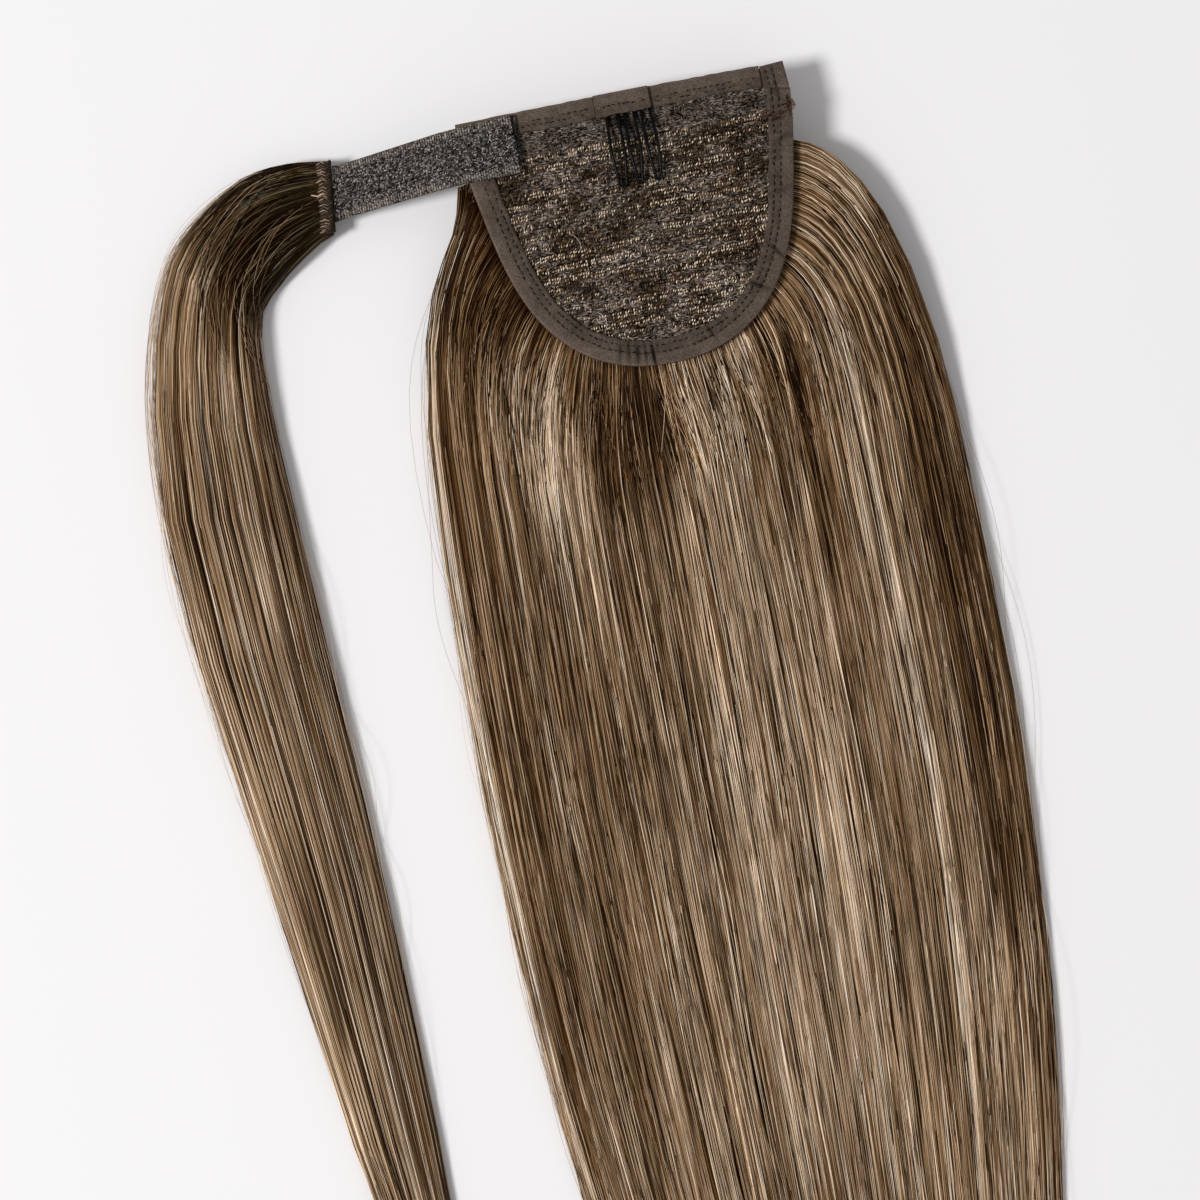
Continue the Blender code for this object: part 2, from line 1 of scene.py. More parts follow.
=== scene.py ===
# Looks of the wrap-around ponytail hairpiece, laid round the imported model.
# Sizes are in millimetres in the drawing frame: x to the right and y to the top edge of
# the base, from a point in the middle of the base. place() turns them into the model's metres.
import math
import random

import bpy
import numpy as np
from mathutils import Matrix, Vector


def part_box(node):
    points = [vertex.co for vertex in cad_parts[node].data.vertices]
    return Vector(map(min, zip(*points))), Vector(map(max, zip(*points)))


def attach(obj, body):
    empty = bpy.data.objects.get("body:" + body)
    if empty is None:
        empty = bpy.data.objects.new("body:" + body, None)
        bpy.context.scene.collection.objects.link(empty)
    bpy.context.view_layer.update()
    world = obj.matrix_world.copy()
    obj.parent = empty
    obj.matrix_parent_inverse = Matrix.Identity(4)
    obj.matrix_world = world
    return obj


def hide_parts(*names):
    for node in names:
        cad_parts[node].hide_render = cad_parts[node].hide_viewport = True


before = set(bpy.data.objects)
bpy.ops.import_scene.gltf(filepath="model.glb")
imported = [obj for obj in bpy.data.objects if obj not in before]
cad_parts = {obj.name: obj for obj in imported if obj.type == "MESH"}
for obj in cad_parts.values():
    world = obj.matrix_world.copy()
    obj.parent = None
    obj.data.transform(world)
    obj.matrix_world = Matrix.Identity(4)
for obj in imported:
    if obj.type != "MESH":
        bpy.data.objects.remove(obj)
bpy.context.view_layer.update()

MM = 0.001
BODY = "root"

# Base, as in the model
RIM_CENTRE_X = 1.5
RIM_HALF_WIDTH = 62.5
RIM_TOP_Y = 26.0
RIM_DEPTH = 82.0
RIM_TAPER = 0.23
RIM_ROUNDNESS = 0.92
TOP_EDGE_Y = 48.5
RIGHT_CORNER_X = 64.4
LEFT_RIM_END_Y = 39.0
SHOULDER_OUT = 1.2
BASE_HEIGHT = 24.0
SIDE_SAG = 3.0
END_SAG = 1.5
SAG_HALF_LENGTH = 50.0
NET_THICKNESS = 1.2
TAPE_WIDTH = 9.5
TAPE_LOWER_WIDTH = 7.0
TAPE_THICKNESS = 1.0
TAPE_GAP = 0.3
TAB_LEFT_X, TAB_RIGHT_X = -9.0, 12.0
TOP_TAPE_WIDTH = 8.2
TAB_WIDTH = 8.6

# Weft rows
WEFT_ROWS = 18
WEFT_FIRST_Y = 29.0
WEFT_PITCH = 4.2

# Comb, as in the model
COMB_BAR_Y, COMB_TIP_Y = 44.0, 12.7
COMB_WIRE_RADIUS = 0.55
COMB_PINS = (
    # root_left_x, root_right_x, tip_left_x, tip_right_x
    (-5.2, -1.0, -5.3, -2.5),
    (1.5, 5.2, 1.8, 3.6),
    (7.8, 11.2, 8.8, 10.9),
)
COMB_BOW = 0.8
COMB_ARCH = (
    # y, height above the net's lower face
    (44.0, 2.05),
    (39.6, 2.1),
    (36.0, 3.2),
    (31.0, 4.6),
    (25.0, 5.2),
    (18.0, 4.4),
    (12.7, 3.1),
)

# Strap, as in the model
STRAP_THICKNESS = 1.8
SELVEDGE_WIDTH = 3.0
STRAP_ROWS = (
    # upper_x, upper_y, lower_x, lower_y, underside_z
    (-39.5, 47.4, -39.5, 25.3, 24.8),
    (-50.0, 47.1, -50.0, 25.3, 24.4),
    (-56.0, 46.9, -56.0, 25.3, 24.1),
    (-62.0, 46.6, -62.0, 25.3, 23.6),
    (-67.0, 46.4, -67.0, 25.2, 22.8),
    (-72.0, 46.1, -72.0, 25.0, 21.5),
    (-102.0, 43.9, -102.0, 23.5, 11.9),
    (-107.0, 43.7, -107.5, 23.2, 10.5),
    (-111.4, 43.6, -114.3, 22.1, 9.4),
)

# Weft head, as in the model
WEFT_HEAD_WIDTH = 5.5
WEFT_HEAD_BOTTOM, WEFT_HEAD_TOP = 8.3, 11.3
WEFT_HEAD_UPPER = (-111.7, 45.6)
WEFT_HEAD_LOWER = (-115.1, 18.6)

# Wrap lock, as in the model
WRAP_ROWS = (
    # outer_x, outer_y, inner_x, inner_y, height
    (-112.4, 45.3, -116.2, 18.8, 8.0),
    (-119.0, 46.3, -122.0, 16.6, 8.0),
    (-127.0, 47.1, -127.5, 13.2, 9.8),
    (-137.0, 47.0, -134.0, 9.0, 12.2),
    (-147.0, 45.2, -140.0, 4.2, 14.0),
    (-157.5, 39.7, -145.5, -0.6, 15.0),
    (-168.6, 31.4, -149.7, -6.0, 15.4),
    (-177.0, 22.6, -151.8, -13.5, 15.4),
    (-183.2, 11.2, -152.7, -22.5, 15.2),
    (-188.6, -3.0, -153.0, -32.0, 15.0),
    (-193.2, -20.0, -153.2, -43.0, 14.8),
    (-197.0, -40.0, -152.9, -57.0, 14.5),
    (-199.6, -63.0, -152.2, -74.0, 14.2),
    (-200.5, -88.0, -151.5, -94.0, 13.8),
    (-199.8, -115.0, -150.5, -118.0, 13.4),
    (-196.2, -150.0, -149.0, -151.0, 12.8),
    (-190.0, -200.0, -146.4, -200.0, 11.8),
    (-184.6, -250.0, -144.8, -250.0, 10.8),
    (-179.0, -300.0, -144.0, -300.0, 9.6),
    (-172.5, -345.0, -143.2, -345.0, 8.4),
    (-166.5, -390.0, -142.8, -390.0, 6.8),
    (-161.5, -425.0, -143.0, -425.0, 5.0),
    (-157.5, -450.0, -144.5, -450.0, 3.0),
    (-154.0, -468.0, -147.0, -468.0, 1.2),
)

# Main hair, as in the model
HAIR_ROOTS = (
    # across, rim_fraction, inset, first_angle, root_pull, join_pull
    (0.00, 0.00, -4.5, -11.0, 0.82, 2.30),
    (0.05, 0.06, 0.0, -36.0, 0.84, 1.90),
    (0.10, 0.15, 3.0, -50.0, 0.88, 1.50),
    (0.16, 0.24, 3.0, -46.0, 0.90, 1.25),
    (0.23, 0.31, 3.0, -30.0, 0.95, 1.15),
    (0.35, 0.40, 3.0, -11.0, 0.95, 1.15),
    (0.50, 0.50, 3.0, 1.0, 0.95, 1.15),
    (0.65, 0.63, 3.0, 14.0, 0.95, 1.15),
    (0.74, 0.71, 3.0, 36.0, 0.92, 1.10),
    (0.82, 0.78, 3.0, 58.0, 0.90, 0.90),
    (0.90, 0.86, 3.0, 72.0, 0.90, 0.60),
    (0.96, 0.92, 1.5, 75.0, 0.90, 0.35),
    (1.00, 0.967, 0.0, 76.0, 0.90, 0.26),
)
JOIN_Y = -110.0
HAIR_FALL = (
    # y, left_x, right_x, height
    (-110.0, -98.0, 105.3, 19.0),
    (-150.0, -99.2, 106.2, 18.0),
    (-200.0, -100.2, 106.0, 16.8),
    (-250.0, -99.6, 104.4, 15.2),
    (-300.0, -97.6, 100.8, 13.4),
    (-350.0, -93.6, 95.4, 11.4),
    (-400.0, -87.5, 88.0, 9.0),
    (-440.0, -81.5, 81.0, 6.8),
    (-490.0, -73.0, 72.0, 3.6),
    (-545.0, -62.0, 60.0, 1.2),
)
HAIR_LOCKS = 21
LOCK_SEED = 7
LOCK_WIDTHS = (0.75, 1.25)
HAIR_TIP_Y = -545.0
HAIR_TIP_SPREAD = 46.0
TIP_UNEVENNESS = 0.55
HAIR_RISE_LENGTH = 60.0
CROWN_POWER = 3.0
EDGE_SHARE, ROOT_EDGE_SHARE = 0.24, 0.60

# Colour bands of the main hair: where the strands are lighter or darker than the rest
# Beside the hair's own streaks they hold a painted highlight (x -61 to -41), and painted shade with
# darker hair (x -38 to -3 under the tape, and the left fan by the rim).
STREAKS_AND_PAINTED_LIGHT = (
    # left_x, right_x, top_y, bottom_y, shift
    (-112, -92, -10, -420, 0.13),
    (-92, -76, 26, -320, -0.16),
    (-80, -44, 30, -36, -0.31),
    (-61, -41, -52, -118, 0.27),
    (-38, -3, -44, -104, -0.29),
    (-30, -16, -104, -180, -0.14),
    (4, 14, -60, -150, 0.08),
    (20, 34, -44, -84, 0.20),
    (-10, 6, -190, -360, 0.14),
    (-68, -54, -150, -330, -0.14),
    (44, 56, -50, -140, -0.12),
    (60, 71, -40, -230, 0.14),
    (22, 50, -60, -110, -0.10),
    (78, 92, 0, -260, -0.06),
    (86, 112, 14, -420, -0.30),
    (48, 62, -230, -400, -0.12),
    (20, 34, -230, -420, 0.10),
    (-130, 130, -210, -600, 0.06),
)
STREAK_SOFTNESS = (6.0, 26.0)
# Colour bands of the wrap lock: its own streaks, and painted sheen on the bend, such as across 0.14 to
# 0.34 in rows 2 to 8.5.
WRAP_STREAKS_AND_SHEEN = (
    # across_start, across_end, row_start, row_end, shift
    (-0.3, 1.3, -2.0, 6.6, -0.42),
    (-0.3, 1.3, -2.0, 9.0, -0.12),
    (-0.3, 1.3, 8.0, 13.0, -0.04),
    (-0.3, 1.3, 13.5, 25.0, 0.03),
    (0.14, 0.34, 2.0, 8.5, 0.14),
    (0.28, 0.46, 6.0, 15.0, 0.18),
    (0.46, 0.86, -1.0, 8.5, -0.14),
    (0.60, 0.75, 9.0, 16.0, 0.12),
    (-0.3, 0.10, 6.0, 20.0, 0.20),
    (0.12, 0.24, 7.0, 14.0, -0.14),
    (0.80, 1.30, 9.0, 22.0, -0.14),
)

# Hair tones from dark to light, as linear colours
TONES = (
    # tone, red, green, blue
    (0.00, 0.019, 0.0062, 0.0010),
    (0.25, 0.096, 0.047, 0.0145),
    (0.50, 0.288, 0.184, 0.096),
    (0.75, 0.560, 0.432, 0.305),
    (1.00, 0.880, 0.765, 0.630),
)

# Where the drawing frame lies in the model, in millimetres, from two nodes' known edges
SHIFT = np.array(
    [
        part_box("wrap_lock_hair")[0][0] / MM - min(row[0] for row in WRAP_ROWS),
        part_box("comb_tab")[1][1] / MM - TOP_EDGE_Y,
        0.0,
    ]
)


def place(points):
    return (np.asarray(points, float) + SHIFT) * MM


# Small helpers for numbers
def blend(low, high, share):
    return low + (high - low) * share


def ease(share):
    share = np.clip(share, 0.0, 1.0)
    return share * share * (3.0 - 2.0 * share)


def hermite(start, start_pull, end, end_pull, share):
    square, cube = share * share, share * share * share
    return (
        start * (2 * cube - 3 * square + 1)
        + start_pull * (cube - 2 * square + share)
        + end * (3 * square - 2 * cube)
        + end_pull * (cube - square)
    )


def table_values(table, key, *columns):
    """Reads columns of a table at many keys in its first column, on smooth curves."""
    rows = np.array(sorted(table), float)
    marks, last = rows[:, 0], len(rows) - 1
    before = np.maximum(np.arange(len(rows)) - 1, 0)
    after = np.minimum(np.arange(len(rows)) + 1, last)
    key = np.clip(np.asarray(key, float), marks[0], marks[-1])
    spot = np.clip(np.searchsorted(marks, key, side="right") - 1, 0, last - 1)
    step = marks[spot + 1] - marks[spot]
    share = (key - marks[spot]) / step
    found = []
    for column in columns:
        values = rows[:, column]
        slopes = (values[after] - values[before]) / (marks[after] - marks[before])
        ends = values[spot], slopes[spot] * step, values[spot + 1], slopes[spot + 1] * step
        found.append(hermite(*ends, share))
    return found if len(columns) > 1 else found[0]


def noise(x, y, cell, seed):
    """Smooth noise from -1 to 1 over a plane, with bumps about one cell wide."""
    size = 128
    grid = np.random.default_rng(seed).uniform(-1.0, 1.0, (size, size))
    u, v = np.broadcast_arrays(np.asarray(x, float) / cell, np.asarray(y, float) / cell)
    i, j = np.floor(u).astype(int), np.floor(v).astype(int)
    a, b = ease(u - i), ease(v - j)
    low = blend(grid[i % size, j % size], grid[(i + 1) % size, j % size], a)
    high = blend(grid[i % size, (j + 1) % size], grid[(i + 1) % size, (j + 1) % size], a)
    return blend(low, high, b)


def bell(away):
    return np.exp(-away * away)


def tone_colour(tone, table=TONES):
    marks = np.array(table)
    return np.stack([np.interp(tone, marks[:, 0], marks[:, k]) for k in (1, 2, 3)], axis=-1)


# Small helpers for meshes
def spread(rows, count):
    """Repeats each row of values, so that there is one for each point of a mesh."""
    rows = np.asarray(rows, float)
    rows = rows.reshape(-1, rows.shape[-1])
    return np.repeat(rows, count // len(rows), axis=0).astype(np.float32)


def add_to_scene(name, data):
    item = bpy.data.objects.new(name, data)
    bpy.context.scene.collection.objects.link(item)
    return item


def add_piece(name, shape, finish, node_name, colours, flow=None):
    """Makes a mesh piece from points in the drawing frame and arrays of faces."""
    points, faces = shape
    mesh = bpy.data.meshes.new(name)
    world = place(points).astype(np.float32)
    loops = np.concatenate([block.ravel() for block in faces]).astype(np.int32)
    sizes = np.concatenate([np.full(len(block), block.shape[1]) for block in faces])
    starts = np.concatenate([[0], np.cumsum(sizes)[:-1]]).astype(np.int32)
    mesh.vertices.add(len(world))
    mesh.vertices.foreach_set("co", world.ravel())
    mesh.loops.add(len(loops))
    mesh.loops.foreach_set("vertex_index", loops)
    mesh.polygons.add(len(sizes))
    mesh.polygons.foreach_set("loop_start", starts)
    mesh.update(calc_edges=True)
    mesh.shade_smooth()
    tint = mesh.color_attributes.new("tint", "FLOAT_COLOR", "POINT")
    full = np.ones((len(world), 4), np.float32)
    full[:, :3] = spread(colours, len(world))
    tint.data.foreach_set("color", full.ravel())
    if flow is not None:
        layer = mesh.uv_layers.new(name="flow")
        layer.data.foreach_set("uv", spread(flow, len(world))[loops].ravel())
    mesh.materials.append(bpy.data.materials[finish])
    piece = add_to_scene(name, mesh)
    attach(piece, BODY)
    if node_name:
        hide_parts(node_name)
    return piece


def unit(vectors):
    return vectors / np.maximum(np.linalg.norm(vectors, axis=-1, keepdims=True), 1e-9)


def tubes(paths, radii, sides=3):
    """Closed tubes along many paths at once: paths is (tubes, stations, 3)."""
    count, stations = paths.shape[:2]
    along = unit(np.gradient(paths, axis=1))
    side = unit(np.cross(along, [0.0, 0.0, 1.0]))
    rise = np.cross(side, along)
    turn = (np.arange(sides) * 2 * math.pi / sides + math.pi / 2)[:, None]
    ring = side[:, :, None] * np.cos(turn) + rise[:, :, None] * np.sin(turn)
    points = paths[:, :, None] + ring * np.broadcast_to(radii, (count, stations))[:, :, None, None]
    index = np.arange(count * stations * sides).reshape(count, stations, sides)
    here, there = index[:, :-1], index[:, 1:]
    quads = np.stack([here, there, np.roll(there, -1, axis=2), np.roll(here, -1, axis=2)], axis=-1)
    return points.reshape(-1, 3), [quads.reshape(-1, 4), index[:, 0], index[:, -1, ::-1]]


def joined(parts):
    """One set of points and faces from several."""
    points, faces, start = [], [], 0
    for some, blocks in parts:
        points.append(some)
        faces += [block + start for block in blocks]
        start += len(some)
    return np.concatenate(points), faces


def flipped(shape):
    return shape[0], [block[:, ::-1] for block in shape[1]]


def slab(top, bottom):
    """A closed sheet from two grids of points, (rows, columns, 3), rows going down in y."""
    index = np.arange(top.shape[0] * top.shape[1]).reshape(top.shape[:2])
    ring = np.concatenate([index[0], index[1:, -1], index[-1, -2::-1], index[-2:0:-1, 0]])
    under = ring + index.size
    walls = np.stack([ring, np.roll(ring, -1), np.roll(under, -1), under], axis=-1)
    corners = [index[:-1, :-1], index[1:, :-1], index[1:, 1:], index[:-1, 1:]]
    face = np.stack(corners, axis=-1).reshape(-1, 4)
    back = np.roll(face[:, ::-1], 1, axis=1) + index.size
    points = np.concatenate([top.reshape(-1, 3), bottom.reshape(-1, 3)])
    return points, [face, back, walls]


def both_faces(rows):
    """Rows of values for a sheet's upper face and again for its lower one."""
    return np.tile(rows.reshape(-1, rows.shape[-1]), (2, 1))


def swept(sections):
    """A closed sweep through sections, (stations, ring, 3)."""
    index = np.arange(sections.shape[0] * sections.shape[1]).reshape(sections.shape[:2])
    here, there = index[:-1], index[1:]
    quads = np.stack([here, np.roll(here, -1, axis=1), np.roll(there, -1, axis=1), there], axis=-1)
    return sections.reshape(-1, 3), [quads.reshape(-1, 4), index[:1, ::-1], index[-1:]]


def runs_along(path):
    """Length walked along a path at each of its points."""
    return np.concatenate([[0.0], np.cumsum(np.linalg.norm(np.diff(path, axis=0), axis=1))])


def even_points(path, count):
    runs = runs_along(path)
    target = np.linspace(0.0, runs[-1], count)
    return np.stack([np.interp(target, runs, path[:, k]) for k in range(path.shape[1])], -1)


# Base surface and rim, as in the model
def base_z(x, y):
    across = (x - RIM_CENTRE_X) / RIM_HALF_WIDTH
    along = y / SAG_HALF_LENGTH
    return BASE_HEIGHT - SIDE_SAG * across * across - END_SAG * along * along


def rim_curve(turn, side):
    depth = np.sqrt(np.maximum(np.sin(turn), 0.0))
    cosine = np.maximum(np.cos(turn), 0.0)
    half = RIM_HALF_WIDTH * (1 - RIM_TAPER * depth) * cosine ** RIM_ROUNDNESS
    return np.stack([RIM_CENTRE_X + side * half, RIM_TOP_Y - RIM_DEPTH * depth], axis=-1)


def outward(path):
    along = unit(np.gradient(path, axis=0))
    return np.stack([along[:, 1], -along[:, 0]], axis=-1)


def rim_path(count):
    turns = math.pi / 2 * (np.arange(241) / 240) ** 2
    return even_points(np.concatenate([rim_curve(turns, -1), rim_curve(turns[::-1], 1)[1:]]), count)


RIM = rim_path(481)
RIM_OUT = outward(RIM)


def rim_at(fraction, inset):
    """Points on the rim at fractions of its length, with an inset towards the net."""
    marks = np.linspace(0.0, 1.0, len(RIM))
    spot, out = [[np.interp(fraction, marks, line[:, k]) for k in (0, 1)] for line in (RIM, RIM_OUT)]
    return np.stack([spot[0] - out[0] * inset, spot[1] - out[1] * inset], axis=-1)


def binding_path(count):
    """Outer edge of the edge binding, from under the strap round the U to the right corner."""
    start = RIM[0] + [-SHOULDER_OUT, LEFT_RIM_END_Y - RIM_TOP_Y]
    bend = [RIM[-1][0] + SHOULDER_OUT, blend(RIM_TOP_Y, TOP_EDGE_Y, 0.5)]
    return even_points(np.concatenate([[start], RIM, [bend], [[RIGHT_CORNER_X, TOP_EDGE_Y]]]), count)


def panel_edges(y, inset):
    """x of the panel's left and right edges at heights y, with an inset."""
    path = binding_path(600)
    path = path - outward(path) * inset
    lowest = int(np.argmin(path[:, 1]))
    branches = path[: lowest + 1][::-1], path[lowest:]
    return [np.interp(y, branch[:, 1], branch[:, 0]) for branch in branches]


# Materials: each one starts from the piece's own tint
TINTED = (
    # name, roughness, specular, grain_scale, contrast, bump_height
    ("weft_thread", 0.42, 0.25, 1500.0, 0.15, 0.00005),
    ("tulle_thread", 0.6, 0.12, 1300.0, 0.15, 0.00003),
    ("loose_thread", 0.5, 0.15, 900.0, 0.1, 0.00003),
    ("sewing_thread", 0.6, 0.10, 1200.0, 0.12, 0.00003),
    ("black_wire", 0.30, 0.10, 700.0, 0.3, 0.00005),
    ("strap_loop", 0.6, 0.15, 1200.0, 0.1, 0.00003),
    ("weft_core", 0.8, 0.08, 900.0, 0.25, 0.0002),
)
SPECKLED = (
    # name, then layers of cell sizes in mm, lowest and highest lightness, and power
    ("net_tulle", ((0.85, 0.45, 0.8), 0.01, 4.8, 2.5), ((2.4, 1.5, 2.0), 0.55, 1.5, 1.0)),
    ("strap_pile", ((0.6, 0.6, 0.6), 0.14, 2.5, 1.6)),
)
WEAVE_PITCH = 0.62


def new_finish(name, roughness, specular):
    finish = bpy.data.materials.new(name)
    finish.use_nodes = True
    inputs = finish.node_tree.nodes["Principled BSDF"].inputs
    inputs["Roughness"].default_value = roughness
    inputs["Specular IOR Level"].default_value = specular
    return finish


def node(finish, kind, links=(), **values):
    """A shader node with its values, and its inputs linked by name or place."""
    made = finish.node_tree.nodes.new("ShaderNode" + kind)
    for key, value in values.items():
        if key in made.inputs:
            made.inputs[key].default_value = value
        else:
            setattr(made, key, value)
    for key, source in dict(links).items():
        finish.node_tree.links.new(source, made.inputs[key])
    return made


def tint_of(finish):
    return node(finish, "Attribute", attribute_name="tint").outputs["Color"]


def object_point(finish):
    return node(finish, "TexCoord").outputs["Object"]


def multiply(finish, first, second):
    values = {"data_type": "RGBA", "blend_type": "MULTIPLY", "Factor": 1.0}
    return node(finish, "Mix", {"A": first, "B": second}, **values).outputs["Result"]


def ramp(finish, value, low, high, start=0.0, end=1.0):
    """Maps a value between start and end to low and high."""
    limits = {"From Min": start, "From Max": end, "To Min": low, "To Max": high}
    return node(finish, "MapRange", {"Value": value}, **limits).outputs["Result"]


def paint(finish, colour, height=None, strength=0.0, distance=0.0):
    """Links a finish's colour, and the bump of its surface where it has one."""
    links, inputs = finish.node_tree.links, finish.node_tree.nodes["Principled BSDF"].inputs
    links.new(colour, inputs["Base Color"])
    if height is not None:
        relief = node(finish, "Bump", {"Height": height}, Strength=strength, Distance=distance)
        links.new(relief.outputs["Normal"], inputs["Normal"])


def speckle(finish, size, low, high, power):
    """Small cells of random lightness from low to high, with few light ones; size in mm."""
    scale = [1.0 / (length * MM) for length in size]
    stretch = node(finish, "Mapping", {"Vector": object_point(finish)}, Scale=scale)
    cells = node(finish, "TexVoronoi", {"Vector": stretch.outputs["Vector"]}, Scale=1.0)
    split = node(finish, "SeparateColor", {"Color": cells.outputs["Color"]})
    level = node(finish, "Math", {0: split.outputs["Red"]}, operation="POWER")
    level.inputs[1].default_value = power
    return ramp(finish, level.outputs["Value"], low, high)


def make_tinted(name, roughness, specular, grain_scale, contrast, bump_height):
    """A matt or glossy finish with fine grain and bump."""
    finish = new_finish(name, roughness, specular)
    texture = node(finish, "TexNoise", {"Vector": object_point(finish)}, Scale=grain_scale, Detail=3.0)
    fine = ramp(finish, texture.outputs["Fac"], 1.0 - contrast, 1.0 + contrast, 0.3, 0.7)
    paint(finish, multiply(finish, tint_of(finish), fine), fine, 0.6, bump_height)


def make_speckled(name, *layers):
    """Cloth broken up by layers of small cells, the first of which also makes its bump."""
    finish = new_finish(name, 0.85, 0.04)
    levels = [speckle(finish, *layer) for layer in layers]
    colour = tint_of(finish)
    for level in levels:
        colour = multiply(finish, colour, level)
    paint(finish, colour, levels[0], 0.5, 0.0002)


def make_woven():
    """Tape: two crossed bands of threads, with a soft uneven grain."""
    finish = new_finish("binding_tape", 0.82, 0.08)
    bands = []
    for direction in ("X", "Y"):
        kinds = {"wave_type": "BANDS", "bands_direction": direction}
        sizes = {"Scale": 1.0 / (WEAVE_PITCH * MM * 3.0), "Distortion": 1.2, "Detail Scale": 2.0}
        wave = node(finish, "TexWave", {"Vector": object_point(finish)}, **kinds, **sizes)
        bands.append(ramp(finish, wave.outputs["Fac"], 0.70, 1.12))
    weave = multiply(finish, *bands)
    rough = speckle(finish, (0.42, 0.42, 0.42), 0.70, 1.30, 1.0)
    colour = multiply(finish, multiply(finish, tint_of(finish), weave), rough)
    paint(finish, colour, weave, 0.7, 0.00015)


def flow_level(finish, across_size, along_size, detail, start, end):
    """Noise drawn out along the hair, from 0 to 1: its bumps' sizes are in millimetres."""
    flow = node(finish, "UVMap", uv_map="flow").outputs["UV"]
    stretch = node(finish, "Mapping", {"Vector": flow}, Scale=(1.0 / across_size, 1.0 / along_size, 1.0))
    texture = node(finish, "TexNoise", {"Vector": stretch.outputs["Vector"]}, Scale=1.0, Detail=detail)
    return ramp(finish, texture.outputs["Fac"], 0.0, 1.0, start, end)


def warm_shade(finish, colour, level, low, high):
    """Multiplies a colour by low to high, where the dark end keeps more red than blue."""
    dark, light = (low, low * 0.76, low * 0.50, 1.0), (high, high, high, 1.0)
    mix = node(finish, "Mix", {"Factor": level}, data_type="RGBA", A=dark, B=light)
    return multiply(finish, colour, mix.outputs["Result"])


def make_hair_finishes():
    """Strands that grow lighter and darker along their run, and the streaked underlay."""
    finish = new_finish("hair_strands", 0.42, 0.05)
    broad = flow_level(finish, 1.0, 38.0, 2.0, 0.3, 0.7)
    # The fine level darkens long stretches of single strands almost to black: painted shade of thin gaps
    # between strands.
    fine = flow_level(finish, 0.37, 90.0, 1.0, 0.37, 0.48)
    colour = warm_shade(finish, tint_of(finish), broad, 0.66, 1.36)
    paint(finish, warm_shade(finish, colour, fine, 0.12, 1.10))
    finish = new_finish("hair_underlay", 0.6, 0.03)
    streak = flow_level(finish, 0.45, 60.0, 4.0, 0.3, 0.7)
    paint(finish, warm_shade(finish, tint_of(finish), streak, 0.30, 1.7), streak, 0.8, 0.0012)


# Hair: how strands gather, cross and shade
TUFT_KINDS = 9000


def lock_edges():
    """Edges of the model's locks across the hair, and their tips' y, from the same seed."""
    dice = random.Random(LOCK_SEED)
    widths = [dice.uniform(*LOCK_WIDTHS) for i in range(HAIR_LOCKS)]
    edges = [sum(widths[:i]) / sum(widths) for i in range(HAIR_LOCKS + 1)]
    tips = []
    for i in range(HAIR_LOCKS):
        away = abs(2.0 * (i + 0.5) / HAIR_LOCKS - 1.0)
        reach = blend(away * away, dice.random(), TIP_UNEVENNESS)
        tips.append(HAIR_TIP_Y + HAIR_TIP_SPREAD * reach)
    tips[HAIR_LOCKS // 2] = HAIR_TIP_Y
    return np.array(edges), np.array(tips)


def crown(across, edge=EDGE_SHARE):
    """Rounded height across the hair: 1 in the middle, less at both edges."""
    away = np.abs(2.0 * np.clip(across, 0.0, 1.0) - 1.0) ** CROWN_POWER
    return edge + (1.0 - edge) * np.sqrt(np.maximum(1.0 - away, 0.0))


def within(value, low, high, soft):
    """1 between two limits and 0 outside them, with soft edges."""
    return ease((value - low) / soft + 0.5) * ease((high - value) / soft + 0.5)


def band_shift(x, y, bands, softness):
    """Sum of the shifts of the bands that a point lies in, with soft edges."""
    total = np.zeros(np.broadcast(x, y).shape)
    for low, high, start, end, shift in bands:
        along = within(y, min(start, end), max(start, end), softness[1])
        total += shift * within(x, low, high, softness[0]) * along
    return total


# Tone shift from the colour bands: the hair's own streaks, with painted highlights and painted shade.
def streak_and_light_shift(path):
    return band_shift(path[..., 0], path[..., 1], STREAKS_AND_PAINTED_LIGHT, STREAK_SOFTNESS)


